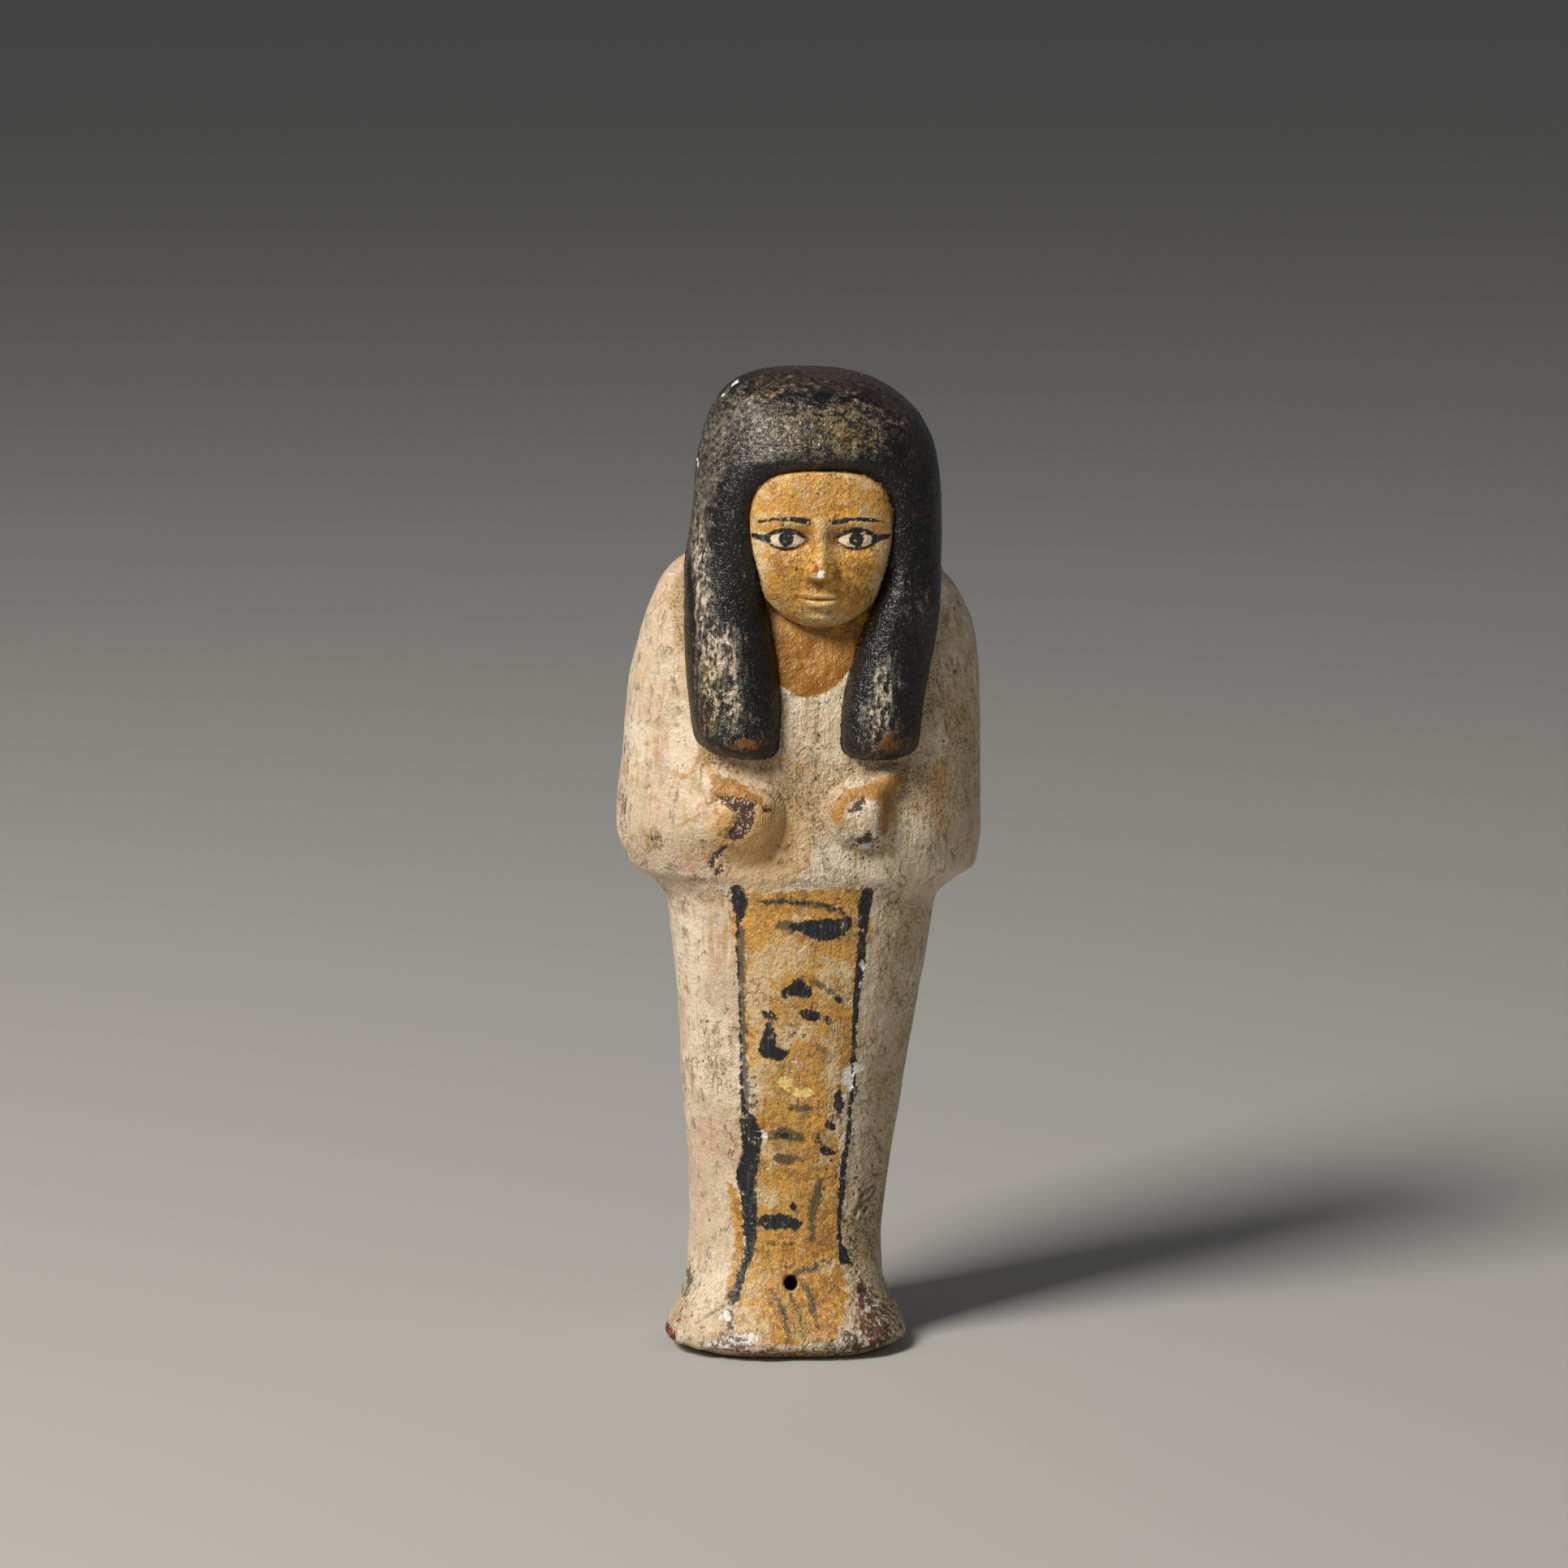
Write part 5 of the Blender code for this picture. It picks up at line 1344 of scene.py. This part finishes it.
def broken_places(r, tone, cream):
    """Crumbled paint, chips to the chalk and the clay, dark clay on the fists, scratches with a painted
    highlight on their lips, the raw sole, and painted shade in the instep hole.
    """
    r.keep("specks", r.total(0.0, patchy=0.35, crumbs=0.7, ragged=0.4))
    r.keep("crumbling", r.total("crumbled", mottled=1.2))
    dark_crumb = r.where((0.25, 0.37), "specks", crumbling=0.3)
    pale_crumb = r.where((0.32, 0.42), 0.0, crumbling=0.22, specks=-0.8, grain=0.6)
    chalk = r.where((0.62, 0.74), "white_chip", ragged=1.8, crumbs=1.44)
    clay = r.where((0.64, 0.76), "clay_chip", patchy=1.9)
    stone = r.coat(FIRED_CLAY, DARK_CLAY, 1.0, (-0.1, 0.15), "mottled")
    tone = r.mix(chalk, tone, CHALK)
    tone = r.mix(dark_crumb, tone, r.coat(DARK_CLAY, RUST, 1.0, (-0.05, 0.1), "patchy"), 0.85)
    tone = r.mix(pale_crumb, tone, CHALK, 0.8)
    tone = r.mix(clay, tone, stone)
    bare = r.where((-0.1, 0.2), "bare", ragged=3.0, crumbs=2.2)
    exposed = r.coat(DARK_CLAY, GROUND_PALE, 0.85, (0.08, 0.2), "crumbs", grain=0.8)
    exposed = r.coat(exposed, RUST, 0.35, (0.02, 0.14), "patchy")
    tone = r.mix(bare, tone, exposed, 0.95)
    # The cut lines are darker in their grooves, and pale on the raised lips beside them as a painted
    # highlight.
    scratched = r.keep("scratched", r.where((-0.25, 0.1), "cut"))
    lip = r.times(r.where((-0.75, -0.4), "cut"), r.less(scratched))
    tone = r.mix(lip, r.mix(scratched, tone, SPECK, 0.55), GROUND_PALE, 0.3)
    earth = r.coat(stone, cream, 0.5, (-0.1, 0.2), "mottled")
    tone = r.mix(r.field("raw"), tone, earth, 0.8)
    r.keep("broken", r.greatest(chalk, clay, bare, dark_crumb))
    # Painted shade fills the inside of the instep hole.
    return r.coat(tone, HOLE_SHADE, 0.97, (0.02, 0.35), "well")


def fine_height(r, hair, dots):
    """Height in millimetres: grain, brush ridges, pits, cracks, the edge of the paint film and chips."""
    r.keep("hair_pits", r.times(r.field("pitted"), hair))
    r.keep("dents", r.greatest(dots, r.field("cracks"), r.field("scratched")))
    r.keep("film", r.greatest(r.field("ink"), hair))
    crumbs = r.blend(hair, r.blend(r.field("worn"), 0.10, 0.32), 0.30)
    height = r.total(0.0, grain=0.12, fine_streaks=0.12, crumbs=crumbs, patchy=r.blend(hair, 0.60, 0.40))
    return r.total(height, hair_pits=-0.08, dents=-0.14, film=0.04, broken=-0.14)


def painted_clay():
    """Low-fired clay under a cream ground, with ochre, black and worn paint laid on by the skin's layers."""
    r = Recipe("painted_clay")
    wander = r.where((0.022, 0.004), r.maths("ABSOLUTE", r.field("wander")))
    r.keep("cracks", r.times(wander, r.where((-0.02, 0.1), "patchy")))
    r.keep("fine", r.total("grain", crumbs=0.9))
    cream = cream_ground(r)
    tone = painted_lines(r, ochre_parts(r, cream))
    pits = r.where((0.26, 0.33), "pits", broad=0.5, soil=0.06)
    dots = r.greatest(r.where((0.28, 0.33), "flecks", broad=0.4), pits)
    tone = r.mix(dots, tone, SPECK, 0.85)
    hair = r.where((-0.1, 0.12), "hair", ragged=1.2, crumbs=0.5)
    tone = broken_places(r, r.mix(hair, tone, wig_black(r)), cream)
    r.link(tone, r.shader.inputs["Base Color"])

    # The ground has a soft sheen, the black is waxy, and broken places are dull.
    dull = r.total(r.blend(r.field("bare_skin"), 0.50, 0.40), crumbs=0.4)
    waxy = r.blend(r.field("rub_and_sheen"), r.total(0.32, crumbs=0.4), r.total(0.30, crumbs=0.5))
    sheen = r.blend(r.field("broken"), r.blend(hair, dull, waxy), 0.85)
    r.link(sheen, r.shader.inputs["Roughness"])
    r.shader.inputs["Specular IOR Level"].default_value = 0.5
    raised = r.tree.nodes.new("ShaderNodeBump")
    raised.inputs["Distance"].default_value = UNIT
    raised.inputs["Strength"].default_value = 1.0
    r.link(fine_height(r, hair, dots), raised.inputs["Height"])
    r.link(raised.outputs[0], r.shader.inputs["Normal"])
    return r.material


def add_statuette():
    """The figure's fine skin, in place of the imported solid."""
    points, layers = figure()
    statuette = bpy.data.objects.new("painted_statuette", skin_mesh(points, layers))
    bpy.context.collection.objects.link(statuette)
    statuette.data.materials.append(painted_clay())
    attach(statuette, "root")
    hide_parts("statuette")


FLOOR_HALF, FLOOR_ROUGHNESS = 9.0, 0.85
FLOOR_COLOUR = colour(180, 178, 174)
FRAME_WIDTH = 0.287
CAMERA_DISTANCE = 1.1
CAMERA_ELEVATION = math.radians(10.0)
AIM = Vector((-0.00255, 0.0, 0.1035))
SENSOR = 36.0
# The lamps: degrees left of the front, degrees up, distance, size, watts and tone. They look at the middle.
LAMPS = {
    "key_light": (48.0, 44.0, 1.5, 0.5, 27.0, (1.0, 0.96, 0.90)),
    "fill_light": (-60.0, 25.0, 1.6, 0.9, 0.8, (0.92, 0.96, 1.0)),
}
LAMP_AIM = Vector((0.0, 0.0, 0.09))
ROOM_TONE, ROOM_STRENGTH = (0.92, 0.95, 1.0, 1.0), 0.11


def add_floor():
    """A plain pale floor that runs out of view."""
    half = FLOOR_HALF
    corners = [(-half, -half, 0.0), (half, -half, 0.0), (half, half, 0.0), (-half, half, 0.0)]
    mesh = bpy.data.meshes.new("floor")
    mesh.from_pydata(corners, [], [(0, 1, 2, 3)])
    floor = bpy.data.objects.new("floor", mesh)
    bpy.context.collection.objects.link(floor)
    paint = bpy.data.materials.new("pale_floor")
    paint.use_nodes = True
    shader = paint.node_tree.nodes["Principled BSDF"]
    shader.inputs["Base Color"].default_value = FLOOR_COLOUR
    shader.inputs["Roughness"].default_value = FLOOR_ROUGHNESS
    mesh.materials.append(paint)


def aimed(place, target):
    """The turn that points an object's -Z from place to target, with its Y up."""
    return (Vector(place) - Vector(target)).to_track_quat("Z", "Y").to_euler()


def add_camera():
    """A long lens a little above the figure, as in the photograph."""
    ahead = Vector((0.0, -math.cos(CAMERA_ELEVATION), math.sin(CAMERA_ELEVATION)))
    lens = bpy.data.cameras.new("camera")
    lens.sensor_width = SENSOR
    lens.lens = SENSOR * CAMERA_DISTANCE / FRAME_WIDTH
    camera = bpy.data.objects.new("camera", lens)
    camera.location = AIM + ahead * CAMERA_DISTANCE
    camera.rotation_euler = aimed(camera.location, AIM)
    bpy.context.collection.objects.link(camera)
    bpy.context.scene.camera = camera


def add_light(name, azimuth, elevation, distance, size, watts, tone):
    """A soft square lamp that looks at the figure's middle, from degrees left of its front and above it."""
    side, up = math.radians(azimuth), math.radians(elevation)
    place = Vector((-math.sin(side) * math.cos(up), -math.cos(side) * math.cos(up), math.sin(up)))
    lamp = bpy.data.lights.new(name, "AREA")
    lamp.size = size
    lamp.energy = watts
    lamp.color = tone
    light = bpy.data.objects.new(name, lamp)
    light.location = LAMP_AIM + place * distance
    light.rotation_euler = aimed(light.location, LAMP_AIM)
    bpy.context.collection.objects.link(light)


def light_the_studio():
    """A soft key lamp up to the left, a weak one to the right, and a dim pale room."""
    for name, lamp in LAMPS.items():
        add_light(name, *lamp)
    room = bpy.data.worlds.new("room")
    room.use_nodes = True
    backdrop = room.node_tree.nodes["Background"]
    backdrop.inputs["Color"].default_value = ROOM_TONE
    backdrop.inputs["Strength"].default_value = ROOM_STRENGTH
    bpy.context.scene.world = room
    bpy.context.scene.view_settings.view_transform = "Standard"


add_statuette()
add_floor()
add_camera()
light_the_studio()
